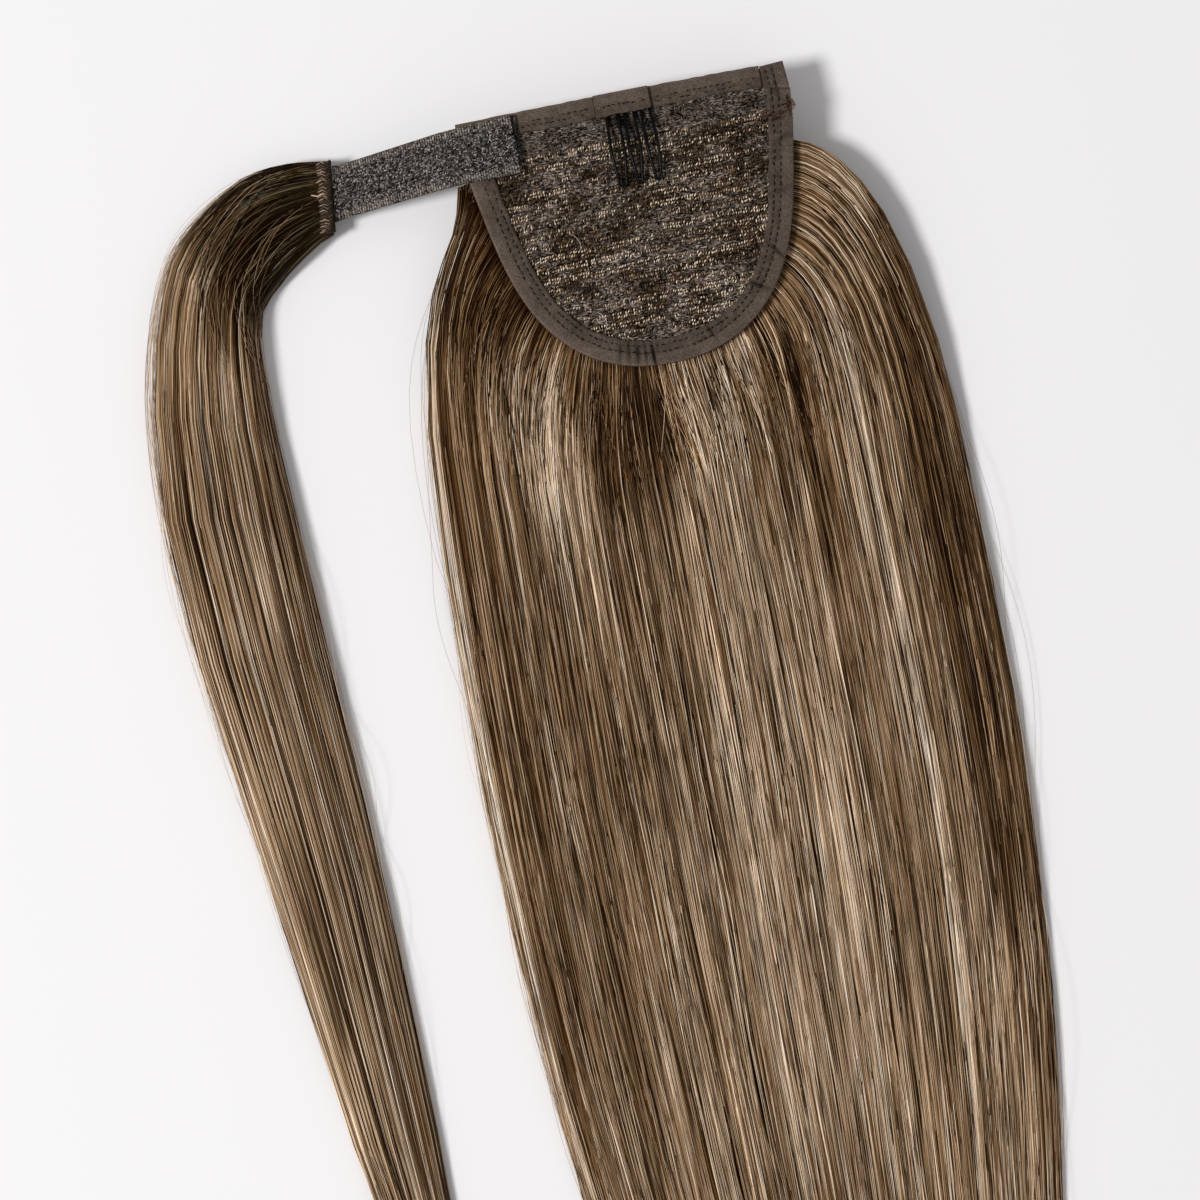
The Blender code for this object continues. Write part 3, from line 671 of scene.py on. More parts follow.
class Strands:
    """Many strands at once, gathered in tufts, each with its place across and its run in mm."""

    def __init__(self, count, seed, tufts, tuft_seed, run, crossing, spread_end):
        rng = self.rng = np.random.default_rng(seed)
        self.run, self.one = run[None, :], (count, 1)
        widths = np.random.default_rng(tuft_seed).uniform(0.35, 1.65, tufts)
        edges = np.concatenate([[0.0], np.cumsum(widths)]) / widths.sum()
        start = rng.random(count)
        start = blend(start, 0.5 - 0.5 * np.cos(math.pi * start), 0.45)
        tuft = np.clip(np.searchsorted(edges, start, side="right") - 1, 0, tufts - 1)
        self.tuft = tuft + tuft_seed * 37
        middle = (edges[tuft] + edges[tuft + 1])[:, None] / 2
        half = (edges[tuft + 1] - edges[tuft])[:, None] / 2
        self.key = self.tuft[:, None] * 7.31
        self.own = (np.arange(count) + seed * 13)[:, None] * 3.17
        self.warmth = 0.0
        self.offset = self.draw(-1.0, 1.0)
        self.squeeze = 1.0 + 0.50 * noise(self.key, self.run, 42.0, 22)
        wander = noise(self.key, self.run, 75.0, 21) * 0.60 / tufts
        drift = noise(self.own, self.run, 60.0, 23) * 0.60 / tufts
        jitter = rng.normal(0.0, crossing, self.one)
        jitter = np.where(rng.random(self.one) < 0.08, jitter * 3.5, jitter)
        fading = 1.0 - ease(self.run / spread_end)
        self.across = middle + wander + self.offset * half * self.squeeze + drift + jitter * fading

    def draw(self, low, high):
        """One random number for each strand."""
        return self.rng.uniform(low, high, self.one)

    def relief(self, depth):
        """Height of each strand over the smooth surface, with rounded tufts."""
        lift = noise(self.key + 5.0, self.run, 55.0, 24) * 0.8
        edge = self.offset**2 * blend(1.5, 0.5, np.clip(self.squeeze - 0.5, 0.0, 1.0))
        return (lift - edge) * ease(self.run / 30.0) - depth

    def tone(self, base, depth=0.0):
        lock = np.random.default_rng(31).normal(0.0, 0.09, TUFT_KINDS)[self.tuft][:, None]
        along = noise(self.key + 2.0, self.run, 70.0, 32) * 0.08
        own = self.rng.normal(0.0, 0.185, self.one)
        pick = self.rng.random(self.one)
        own = own + np.where(pick < 0.22, -0.38, 0.0) + np.where(pick > 0.84, 0.26, 0.0)
        flicker = noise(self.own, self.run, 30.0, 33) * 0.10
        # Painted shade: strands at the edges of squeezed tufts, where gaps open, and deeper strands are
        # darker.
        gap = self.offset**4 * np.clip(1.25 - self.squeeze, 0.0, 0.6) * 0.50
        return base + lock + along + own + flicker - gap - depth * 0.20

    def radius(self, size, taper_start):
        return size * self.draw(0.62, 1.3) * (1.0 - 0.72 * ease((self.run - taper_start) / 110.0))

    def piece(self, name, path, radius, tone, node_name):
        """All strands as one piece: the warmth makes them red-brown, or ash below zero."""
        hue = np.random.default_rng(41).normal(0.0, 0.7, TUFT_KINDS)[self.tuft][:, None]
        hue = hue + self.rng.normal(0.0, 0.5, self.one) + self.warmth
        warmed = 1.0 + np.stack([0.035 * hue, -0.005 * hue, -0.06 * hue], axis=-1)
        flow = np.stack(np.broadcast_arrays(self.own, self.run, tone)[:2], axis=-1)
        colours = tone_colour(tone) * warmed
        add_piece(name, tubes(path, radius), "hair_strands", node_name, colours, flow)


def lift_to(path, lowest):
    path[..., 2] = np.maximum(path[..., 2], lowest)


def add_underlay(name, top, floor_z, tone, across, run, node_name, turned=False):
    """The body of hair under the strands, closed down to the floor. It is given dark tones: painted shade
    of the deep hair seen between and under the strands.
    """
    bottom = top.copy()
    bottom[..., 2] = floor_z
    shape = flipped(slab(top, bottom)) if turned else slab(top, bottom)
    colours, flow = both_faces(tone_colour(tone)), both_faces(np.stack([across, run], axis=-1))
    add_piece(name, shape, "hair_underlay", node_name, colours, flow)


# Main hair
FAN_RUN, FALL_RUN = 120.0, 435.0
STATION_MARKS, RUN_MARKS = (0.0, 1.0, 2.0), (0.0, FAN_RUN, FAN_RUN + FALL_RUN)
HAIR_WIDTH = 205.0
STATIONS = np.array(
    [0, 0.05, 0.10, 0.16, 0.23, 0.32, 0.45, 0.62, 0.82]
    + [1.02, 1.14, 1.27, 1.41, 1.55, 1.70, 1.85, 2.0]
)
TUFTS = 112
# Painted shadow of the tape on the hair: strands are darker over their first 15 mm from the rim.
ROOT_PAINTED_SHADOW = 0.28
MAIN_LAYERS = (
    # count, tuft_seed, sunk
    (1400, 1, 0.0),
    (1400, 1, 0.0),
    (500, 2, 1.1),
)
TOP_COUNT, TOP_LAYERS = 800, 2
LOW_COUNT = 700


def station_run(stations):
    return np.interp(stations, STATION_MARKS, RUN_MARKS)


def fall_x(across, y):
    return blend(*table_values(HAIR_FALL, y, 1, 2), across)


def fan_points(across, share):
    """Points between the rim and the join: share is 0 at the root and 1 at the join."""
    rim, inset, angle, root_pull, join_pull = table_values(HAIR_ROOTS, across, *range(1, 6))
    root = rim_at(rim, inset)
    join = np.stack([fall_x(across, JOIN_Y), np.full_like(across, JOIN_Y)], axis=-1)
    reach = np.linalg.norm(join - root, axis=-1)[..., None]
    turn = np.radians(angle)
    start = np.stack([np.sin(turn), -np.cos(turn)], axis=-1) * reach * root_pull[..., None]
    slope = fall_x(across, JOIN_Y - 1.0) - join[..., 0]
    end = np.stack([slope, np.full_like(slope, -1.0)], axis=-1) * reach * join_pull[..., None]
    spot = hermite(root, start, join, end, share[..., None])
    return spot, np.linalg.norm(spot - root, axis=-1)


def hair_surface(across, station, tip_y):
    """Top of the main hair: station 0 to 1 runs over the fan, and 1 to 2 down to the tip."""
    station = np.broadcast_to(station, across.shape)
    fan, run = fan_points(across, np.clip(station, 0.0, 1.0))
    y = blend(JOIN_Y, tip_y, np.clip(station - 1.0, 0.0, 1.0))
    low = station > 1.0
    x = np.where(low, fall_x(across, y), fan[..., 0])
    y = np.where(low, y, fan[..., 1])
    root_edge = blend(ROOT_EDGE_SHARE, 0.95, ease((across - 0.6) / 0.2))
    edge = blend(root_edge, EDGE_SHARE, ease(station / 1.15))
    full = table_values(HAIR_FALL, y, 3) * crown(across, edge)
    tucked = base_z(x, y) - TAPE_THICKNESS - 2 * TAPE_GAP
    z = np.where(low, full, blend(tucked, full, ease(run / HAIR_RISE_LENGTH)))
    return np.stack([x, y, z], axis=-1)


def gather_tips(strands):
    """Draws strands a little to their lock's tip, and gives each its own lowest y."""
    edges, tips = lock_edges()
    last = strands.across[:, -1]
    lock = np.clip(np.searchsorted(edges, last, side="right") - 1, 0, HAIR_LOCKS - 1)
    middle = (edges[lock] + edges[lock + 1]) / 2
    off = np.abs(last - middle) / (edges[lock + 1] - edges[lock]) * 2
    pull = ease((strands.run - 420.0) / 135.0) * strands.draw(0.10, 0.50)
    strands.across = blend(strands.across, middle[:, None], pull)
    uneven = 9.0 * noise(strands.key[:, 0], 3.0, 1.0, 25) + strands.draw(0.0, 60.0)[:, 0]
    return (np.maximum(tips[lock] + off * 16.0 + uneven, HAIR_TIP_Y))[:, None]


def fill_left_root(path, strands):
    """Draws the first strands at the left in to the rim, so no gap shows beside the tape."""
    share = ease((0.07 - strands.across[:, :1]) / 0.05) * strands.rng.random(strands.one)
    target = rim_at(np.clip(strands.across[:, 0], 0.0, 1.0) * 0.7, 1.5)
    pull = (share * (1.0 - ease(strands.run / 34.0)))[..., None]
    path[..., :2] += (target - path[:, 0, :2])[:, None] * pull


def make_main_hair():
    run = station_run(STATIONS)
    for i, (count, tuft_seed, sunk) in enumerate(MAIN_LAYERS):
        strands = Strands(count, 100 + i, TUFTS, tuft_seed, run, 0.011, 110.0)
        tip_y = gather_tips(strands)
        path = hair_surface(strands.across, STATIONS[None, :], tip_y)
        fill_left_root(path, strands)
        depth = np.minimum(strands.rng.exponential(0.45, strands.one) + sunk, 2.6)
        path[..., 2] += strands.relief(depth)
        # Band shifts add painted highlights and painted shade to the streaks; the lighter bands also turn
        # ash.
        shift = streak_and_light_shift(path)
        strands.warmth = -3.0 * np.maximum(shift, 0.0)
        # Darker near the rim: painted shadow of the tape on the roots.
        tone = strands.tone(0.598, depth) + shift - ROOT_PAINTED_SHADOW * (1.0 - ease(strands.run / 15.0))
        radius = strands.radius(0.205, 445.0)
        lift_to(path, radius + 0.1)
        strands.piece(f"main_strands_{i + 1}", path, radius, tone, "main_hair")


def make_top_hair():
    """Shorter lengths of strand that come up, cross their neighbours and dive in again."""
    for i in range(TOP_LAYERS):
        strands = Strands(TOP_COUNT, 150 + i, TUFTS, 1, station_run(STATIONS), 0.011, 110.0)
        rng, one = strands.rng, strands.one
        start, length = strands.draw(3.0, 420.0), strands.draw(80.0, 230.0)
        share = np.linspace(0.0, 1.0, 10)[None, :]
        run = strands.run = np.minimum(start + length * share, 515.0)
        stations = np.interp(run, RUN_MARKS, STATION_MARKS)
        middle = blend(0.004, 0.996, rng.random(one))
        swing = rng.normal(0.0, 1.0, one) * 2.6 * (share - 0.5)
        bow = rng.normal(0.0, 1.0, one) * 1.1 * np.sin(share * math.pi)
        strands.across = np.clip(middle + (swing + bow) / HAIR_WIDTH, -0.002, 1.002)
        path = hair_surface(strands.across, stations, HAIR_TIP_Y + 20.0)
        arch = np.sin(share * math.pi) ** 0.4
        depth = 1.6 - arch * strands.draw(1.3, 2.1)
        path[..., 2] += np.minimum(-depth, 0.35) * ease(run / 25.0)
        lift_to(path, 0.4)
        pick = rng.random(one)
        shift = np.where(pick < 0.26, -0.26, np.where(pick > 0.66, 0.17, 0.0))
        # Stretches that dive below the surface are darker, as painted shade.
        tone = 0.585 + shift + rng.normal(0.0, 0.09, one) - np.maximum(depth, 0.0) * 0.12
        # Darker near the rim: painted shadow of the tape on the roots.
        tone = tone - ROOT_PAINTED_SHADOW * (1.0 - ease(run / 15.0)) + streak_and_light_shift(path)
        radius = strands.draw(0.11, 0.21) * (0.35 + 0.65 * arch)
        strands.piece(f"main_strands_top_{i + 1}", path, radius, tone, "main_hair")


def make_lower_hair():
    """Strands down the outer sides of the hair and along its flat underside."""
    stations = STATIONS[::2]
    strands = Strands(LOW_COUNT, 171, TUFTS, 3, station_run(stations), 0.008, 110.0)
    side = strands.rng.random(strands.one)
    at_side = side < 0.56
    near = strands.draw(-0.002, 0.005)
    strands.across = np.where(at_side, np.where(side < 0.25, near, 1.0 - near), strands.across)
    tip_y = gather_tips(strands) + 20.0
    path = hair_surface(strands.across, stations[None, :], tip_y)
    path[..., 2] = np.where(at_side, path[..., 2] * strands.draw(0.04, 0.95), 0.35)
    tone = strands.tone(0.42) + streak_and_light_shift(path)
    radius = strands.radius(0.26, 430.0)
    lift_to(path, radius + 0.05)
    strands.piece("main_strands_low", path, radius, tone, "main_hair")


def make_main_underlay():
    stations = np.concatenate([np.linspace(0.0, 1.0, 16)[:-1], np.linspace(1.0, 1.82, 20)])[:, None]
    across = np.repeat(np.linspace(0.007, 0.993, 170)[None, :], len(stations), axis=0)
    edges, tips = lock_edges()
    tip_y = np.interp(across[0], (edges[1:] + edges[:-1]) / 2, tips + 16.0)[None, :]
    top = hair_surface(across, stations, tip_y)
    top[..., 2] -= 2.2 * ease(stations / 0.25) + 0.4
    lift_to(top, 0.5)
    # Dark tone: painted shade of the deep hair between the strands.
    tone, run = 0.17 + streak_and_light_shift(top) * 0.5, station_run(stations) + 0.0 * across
    add_underlay("main_underlay", top, 0.15, tone, across * HAIR_WIDTH, run, "main_hair")


# Hair under the base, that hangs from the net's outer side
NEST_TOP_Y, NEST_LOW_Y = 36.0, -53.0
NEST_COUNT = 1000


def nest_floor(y):
    """Underside of the hair under the net: up at its roots, and on the table further in."""
    return blend(17.0, 0.15, ease((NEST_TOP_Y - y) / 26.0) ** 0.6)


def make_nest():
    y = np.linspace(NEST_TOP_Y, NEST_LOW_Y, 34)[:, None]
    x = blend(*panel_edges(y, 3.2), np.linspace(0.0, 1.0, 60)[None, :])
    y = np.broadcast_to(y, x.shape)
    top = np.stack([x, y, base_z(x, y) - 1.8], axis=-1)
    # Dark tone: painted shade of the hair under the base.
    add_underlay("base_underlay", top, nest_floor(y), np.full(x.shape, 0.24), x, 50.0 - y, "main_hair")


def make_nest_strands():
    """Strands that hang from the first rows of the net and turn under the base."""
    share = np.linspace(0.0, 1.0, 9)
    strands = Strands(NEST_COUNT, 181, 60, 4, share * 110.0, 0.01, 60.0)
    root_y = strands.draw(31.0, 39.5)
    x = blend(*panel_edges(root_y, 3.5), np.clip(strands.across, 0.0, 1.0))
    floor_z = strands.draw(0.3, 5.5)
    bow = np.sin(share * math.pi) * strands.draw(-1.0, 2.2)
    y = root_y - share**1.5 * 72.0 + bow * (1.0 - share)
    fall = ease(share / strands.draw(0.34, 0.62))
    z = blend(base_z(x, root_y) - 0.4, np.minimum(floor_z, nest_floor(y) + 0.6), fall)
    path = np.stack([x, y, np.maximum(z, 0.35)], axis=-1)
    strands.piece("base_strands", path, 0.24, strands.tone(0.50), "main_hair")


# Wrap lock
WRAP_WIDTH = 50.0
WRAP_STATIONS = np.array(
    [0.0, 0.5, 1.0, 1.6, 2.2, 2.8, 3.4, 4.0, 4.6, 5.2, 5.8, 6.5, 7.3]
    + [8.2, 9.4, 10.8, 12.6, 14.6, 16.6, 18.6, 20.6, 22.0, 23.0]
)
WRAP_END = len(WRAP_ROWS) - 1.0
WRAP_TUFTS = 34
WRAP_COUNT, WRAP_LOW_COUNT = 1050, 260


def rows_at(rows, station):
    """Columns of a table at places along its rows."""
    return table_values([(i, *row) for i, row in enumerate(rows)], station, *range(1, 6))


def wrap_surface(across, station, tip_y):
    """Top of the wrap lock: the station is a place along the rows of its table."""
    outer_x, outer_y, inner_x, inner_y, height = rows_at(WRAP_ROWS, station)
    x, y = blend(outer_x, inner_x, across), blend(outer_y, inner_y, across)
    y = y + tip_y * ease((station - 18.5) / 4.5)
    z = height * blend(1.0, crown(across), ease((station - 1.0) / 4.0))
    return np.stack([x, y, z], axis=-1)


def wrap_run(stations):
    marks = np.linspace(0.0, WRAP_END, 400)
    return np.interp(stations, marks, runs_along(wrap_surface(np.full(400, 0.5), marks, 0.0)))


def wrap_shift(across, stations):
    return band_shift(across, stations + 0 * across, WRAP_STREAKS_AND_SHEEN, (0.10, 2.0))


def close_tip(across, steps):
    return blend(across, 0.5, ease((steps - 19.5) / 3.5) * 0.35)


def make_wrap_hair():
    """Strands of the lock. At the bend, a share of them slides across over the others."""
    strands = Strands(WRAP_COUNT, 301, WRAP_TUFTS, 5, wrap_run(WRAP_STATIONS), 0.02, 90.0)
    rng, one, steps = strands.rng, strands.one, WRAP_STATIONS[None, :]
    sliding = rng.random(one) < 0.16
    reach = strands.draw(-0.10, 0.50) * sliding
    strands.across = strands.across + reach * (ease((steps - strands.draw(0.5, 4.5)) / 5.0) - 0.45)
    strands.across = close_tip(np.clip(strands.across, -0.015, 1.015), steps)
    path = wrap_surface(strands.across, steps, strands.draw(0.0, 60.0))
    depth = np.minimum(rng.exponential(0.6, one), 2.4)
    depth = np.where(sliding, strands.draw(-0.4, 0.2), depth)
    path[..., 2] += strands.relief(depth) * ease(steps / 2.0)
    strands.warmth = -0.6 - 7.5 * (1.0 - ease((steps - 3.5) / 5.0))
    tone = strands.tone(0.582, np.abs(depth)) + wrap_shift(strands.across, steps)
    radius = strands.radius(0.21, 400.0)
    lift_to(path, radius + 0.1)
    under_head = path[..., 0] > WEFT_HEAD_LOWER[0] - WEFT_HEAD_WIDTH - 0.6
    lowered = np.minimum(path[..., 2], WEFT_HEAD_BOTTOM - 0.6)
    path[..., 2] = np.where(under_head, lowered, path[..., 2])
    strands.piece("wrap_strands", path, radius, tone, "wrap_lock_hair")


def make_wrap_side():
    """Strands down the sides of the lock, and along its underside."""
    stations = WRAP_STATIONS[::2]
    strands = Strands(WRAP_LOW_COUNT, 321, WRAP_TUFTS, 6, wrap_run(stations), 0.01, 90.0)
    side, steps = strands.rng.random(strands.one), stations[None, :]
    at_side = side < 0.6
    strands.across = np.where(at_side, np.where(side < 0.3, 0.0, 1.0), strands.across)
    strands.across = close_tip(strands.across, steps)
    path = wrap_surface(strands.across, steps, strands.draw(10.0, 60.0))
    path[..., 2] = np.where(at_side, path[..., 2] * strands.draw(0.05, 0.95), 0.35)
    radius = strands.radius(0.24, 400.0)
    lift_to(path, radius + 0.05)
    tone = strands.tone(0.42) + wrap_shift(strands.across, steps)
    strands.piece("wrap_strands_low", path, radius, tone, "wrap_lock_hair")


def make_wrap_underlay():
    stations = np.concatenate([np.linspace(0.0, 9.0, 28)[:-1], np.linspace(9.0, 20.8, 20)])[:, None]
    across = np.repeat(np.linspace(0.01, 0.99, 50)[None, :], len(stations), axis=0)
    top = wrap_surface(across, stations + 0.0 * across, 8.0)
    top[..., 2] = top[..., 2] - 0.6 - 1.6 * ease(stations / 3.0)
    lift_to(top, 0.6)
    # Dark tone: painted shade of the deep hair between the strands.
    tone, run = 0.18 + wrap_shift(across, stations) * 0.5, wrap_run(stations + 0.0 * across)
    across = across * WRAP_WIDTH
    add_underlay("wrap_underlay", top, 0.15, tone, across, run, "wrap_lock_hair", turned=True)


# Loose hairs beside the hair, and over the bend of the lock
LOOSE_HAIRS = (
    # start_run, length, bulge, side
    (18.0, 90.0, 4.5, 0),
    (30.0, 110.0, 8.5, 0),
    (60.0, 80.0, 3.0, 0),
    (95.0, 95.0, 6.5, 0),
    (150.0, 90.0, 3.5, 0),
    (250.0, 120.0, 2.2, 0),
    (60.0, 100.0, 3.5, 1),
    (90.0, 120.0, 6.0, 1),
    (130.0, 150.0, 9.0, 1),
    (150.0, 110.0, 4.0, 1),
    (210.0, 100.0, 2.6, 1),
    (300.0, 110.0, 3.2, 1),
)
MAIN_EDGE = (hair_surface, station_run, 2.0, HAIR_WIDTH, -520.0)
WRAP_EDGE = (wrap_surface, wrap_run, WRAP_END, WRAP_WIDTH, 0.0)
MAIN_LOOSE, BEND_LOOSE, WRAP_LOOSE = 44, 30, 46
STRAY_COUNT = 34


def loose_path(edge, start_run, length, bulge, side, height):
    """A hair that leaves an edge of the hair and comes back to it, bowed out and up."""
    surface, run_of, top_station, width, tip_y = edge
    share = np.linspace(0.0, 1.0, 14)
    marks = np.linspace(0.0, top_station, 300)
    station = np.interp(start_run + share * length, run_of(marks), marks)
    out = bulge * np.sin(share * math.pi) ** 1.3 / width
    path = surface(np.clip(side + (out if side else -out), -0.2, 1.2), station, tip_y)
    path[:, 2] = blend(np.maximum(path[:, 2], 1.0), height, np.sin(share * math.pi))
    return path


def add_fine_hairs(name, path, radius, tone):
    add_piece(name, tubes(path, radius), "hair_strands", None, tone_colour(tone), [[0.0, 0.0]])


def make_loose_hairs():
    rng = np.random.default_rng(501)
    paths = [loose_path(MAIN_EDGE, *row, rng.uniform(2, 9)) for row in LOOSE_HAIRS]
    for i in range(MAIN_LOOSE):
        row = rng.uniform(10, 400), rng.uniform(40, 130), 0.4 + rng.exponential(0.8)
        paths.append(loose_path(MAIN_EDGE, *row, i % 2, rng.uniform(1, 6)))
    for i in range(BEND_LOOSE):
        row = rng.uniform(12, 60), rng.uniform(70, 170), rng.uniform(0.6, 4.2)
        paths.append(loose_path(WRAP_EDGE, *row, 0, rng.uniform(4, 10)))
    for i in range(WRAP_LOOSE):
        row = rng.uniform(18, 300), rng.uniform(50, 160), min(0.5 + rng.exponential(1.5), 7.0)
        paths.append(loose_path(WRAP_EDGE, *row, i % 2, rng.uniform(2, 8)))
    add_fine_hairs("loose_hairs", np.stack(paths), 0.075, rng.uniform(0.45, 1.0, (len(paths), 1)))


def make_bend_strays():
    """Fine pale strands that cross over the bend of the wrap lock."""
    rng, one = np.random.default_rng(521), (STRAY_COUNT, 1)
    share = np.linspace(0.0, 1.0, 14)[None, :]
    station = rng.uniform(0.8, 6.0, one) + share * rng.uniform(3.0, 8.0, one)
    across = rng.uniform(0.0, 0.75, one) + share**1.4 * rng.uniform(-0.05, 0.55, one)
    across = across + np.sin(share * math.pi * 1.5) * rng.normal(0.0, 0.03, one)
    path = wrap_surface(np.minimum(across, 1.04), station, 0.0)
    path[..., 2] += np.sin(share * math.pi) * rng.uniform(0.2, 1.3, one)
    add_fine_hairs("bend_strays", path, rng.uniform(0.06, 0.10, one), rng.uniform(0.35, 0.75, one))


# Net panel with its weft rows
TULLE_GREY = np.array([0.215, 0.172, 0.143])
WEFT_DARK = np.array([0.014, 0.009, 0.005])
NET_SEEN_TOP_Y, NET_SEEN_LOW_Y = 41.0, -45.5
PLAIN_BAND_Y = 30.5
BEAD_TONES = (
    # tone, red, green, blue
    (0.00, 0.018, 0.011, 0.007),
    (0.35, 0.075, 0.048, 0.030),
    (0.60, 0.210, 0.145, 0.095),
    (0.80, 0.480, 0.350, 0.235),
    (1.00, 0.900, 0.740, 0.560),
)
STITCH_LINES = (
    # offset from the weft, bright
    (0.62, 1.0),
    (-0.62, 1.0),
    (1.95, 0.0),
    (-1.95, 0.0),
)


def weft_y(row, x):
    """Centre line of a weft row: slightly wavy."""
    level = WEFT_FIRST_Y - row * WEFT_PITCH
    return level + 0.75 * noise(x, row * 9.7, 16.0, 61) + 0.3 * noise(x, row * 5.1, 5.0, 62)


def net_level(x, y):
    """Height of the net's upper face, with its sagging, puckers and fine roughness."""
    rough = 0.14 * noise(x, y, 1.4, 63) + 0.12 * noise(x, y, 3.1, 64)
    return base_z(x, y) + NET_THICKNESS + rough + 0.25 * noise(x, y, 14.0, 65)


def tulle_share(x, y):
    """How much grey tulle shows at a place, from 0 to 1."""
    patch = 0.95 * noise(x, y * 1.6, 8.0, 67) + 0.35 * noise(x, y * 1.6, 2.4, 68)
    phase = (y - WEFT_FIRST_Y + 0.7 * noise(x, y, 14.0, 61)) / WEFT_PITCH
    band = ease((y - 29.5) / 2.5) * ease(0.70 + 0.7 * noise(x, y, 4.0, 75))
    return np.maximum(ease(0.40 + 1.25 * patch - 0.42 * np.cos(phase * 2.0 * math.pi)), band)


def plain_band(y):
    """1 on the plain tulle above the weft rows, and 0 below it."""
    return ease((y - PLAIN_BAND_Y) / 2.0)


def comb_painted_shadow(x, y):
    """Painted shadow of the comb's pins on the net: under and beside them, set a little to the right,
    where the light casts it.
    """
    nearest = np.full(np.shape(x), 9.0)
    share = np.clip((COMB_BAR_Y - y) / (COMB_BAR_Y - COMB_TIP_Y), 0.0, 1.0)
    for root_left, root_right, tip_left, tip_right in COMB_PINS:
        for root, tip in ((root_left, tip_left), (root_right, tip_right)):
            nearest = np.minimum(nearest, np.abs(x - 0.9 - blend(root, tip, share)))
    inside = ease((y - COMB_TIP_Y + 1.5) / 2.0) * ease((42.0 - y) / 1.0)
    return 1.0 - 0.58 * bell(nearest / 0.75) * inside


def make_net():
    cut = TAPE_THICKNESS + TAPE_GAP
    y = np.linspace(TOP_EDGE_Y - cut, RIM[:, 1].min() + cut + 0.6, 84)[:, None]
    x = blend(*panel_edges(y, cut), np.linspace(0.0, 1.0, 96)[None, :])
    y = np.broadcast_to(y, x.shape)
    left, right = panel_edges(y, TAPE_WIDTH)
    inner = np.minimum(x - left, right - x)
    inner = np.minimum(inner, np.minimum(y - NET_SEEN_LOW_Y, NET_SEEN_TOP_Y - y))
    flat = base_z(x, y) + NET_THICKNESS
    z = flat + (net_level(x, y) - flat) * ease(inner / 1.5)
    shape = slab(np.stack([x, y, z], axis=-1), np.stack([x, y, base_z(x, y)], axis=-1))
    # The net is darkened under the comb by its painted shadow.
    light = (0.8 + 0.35 * noise(x, y, 1.2, 69)) * (1.0 - 0.25 * plain_band(y)) * comb_painted_shadow(x, y)
    shade = blend(WEFT_DARK * 2.2, TULLE_GREY * 0.46, tulle_share(x, y)[..., None]) * light[..., None]
    piece = add_piece("net_panel", shape, "net_tulle", "base_net", both_faces(shade))


def inside_panel(x, y, margin):
    left, right = panel_edges(y, TAPE_WIDTH - margin)
    low, top = RIM[:, 1].min() + TAPE_WIDTH - margin, NET_SEEN_TOP_Y - 0.2
    return (x > left) & (x < right) & (y > low) & (y < top)


def short_threads(x, y, length, angle, radius, rise, bulge=1.0):
    """Short arched threads lying on the net, each with three stations."""
    half = np.stack([np.cos(angle), np.sin(angle)], axis=-1) * length[:, None] / 2
    middle = np.stack([x, y], axis=-1)
    flat = np.stack([middle - half, middle, middle + half], axis=1)
    level = net_level(flat[..., 0], flat[..., 1]) + np.array([0.05, 1.0, 0.05]) * rise
    path = np.concatenate([flat, level[..., None]], axis=-1)
    return tubes(path, radius[:, None] * np.array([0.55, bulge, 0.55]))


def make_weft_stitches():
    """Small knitted stitches: two bright rows on each weft, and dull ones between the wefts."""
    rng = np.random.default_rng(601)
    marks = np.arange(-56.0, 60.0, 1.0)
    many = len(marks)
    bags = []
    for row in range(WEFT_ROWS):
        for line, (shift, bright) in enumerate(STITCH_LINES):
            x = marks + rng.normal(0.0, 0.10, many)
            y = weft_y(row, x) + shift + rng.normal(0.0, 0.14, many)
            glow = noise(x, row * 6.3, 16.0, 72) * 0.34 + noise(x, row * 3.9 + line, 3.0, 73) * 0.20
            glow = glow + 0.10 * noise(x, y, 30.0, 76) + 0.10 * math.sin(row * 2.4)
            tone = np.where(bright > 0, 0.66 + glow, 0.32 + 0.6 * glow) + rng.normal(0.0, 0.28, many)
            keep = rng.random(many) < np.where(bright > 0, 0.92, 0.70 - 0.60 * tulle_share(x, y))
            keep &= inside_panel(x, y, 0.4) & (y < 31.5)
            bags.append(np.stack([x, y, tone, np.full(many, bright)], axis=-1)[keep])
    x, y, tone, bright = np.concatenate(bags).T
    angle = math.pi / 2 - 0.42 + rng.normal(0.0, 0.32, len(x))
    length = blend(0.85, 1.25, bright) * rng.uniform(0.75, 1.25, len(x))
    radius = blend(0.21, 0.31, bright) * rng.uniform(0.75, 1.25, len(x))
    # Stitches under the comb are darkened by its painted shadow.
    colour = tone_colour(tone, BEAD_TONES) * comb_painted_shadow(x, y)[:, None]
    shape = short_threads(x, y, length, angle, radius, 0.34, 1.15)
    add_piece("weft_stitches", shape, "weft_thread", None, colour)


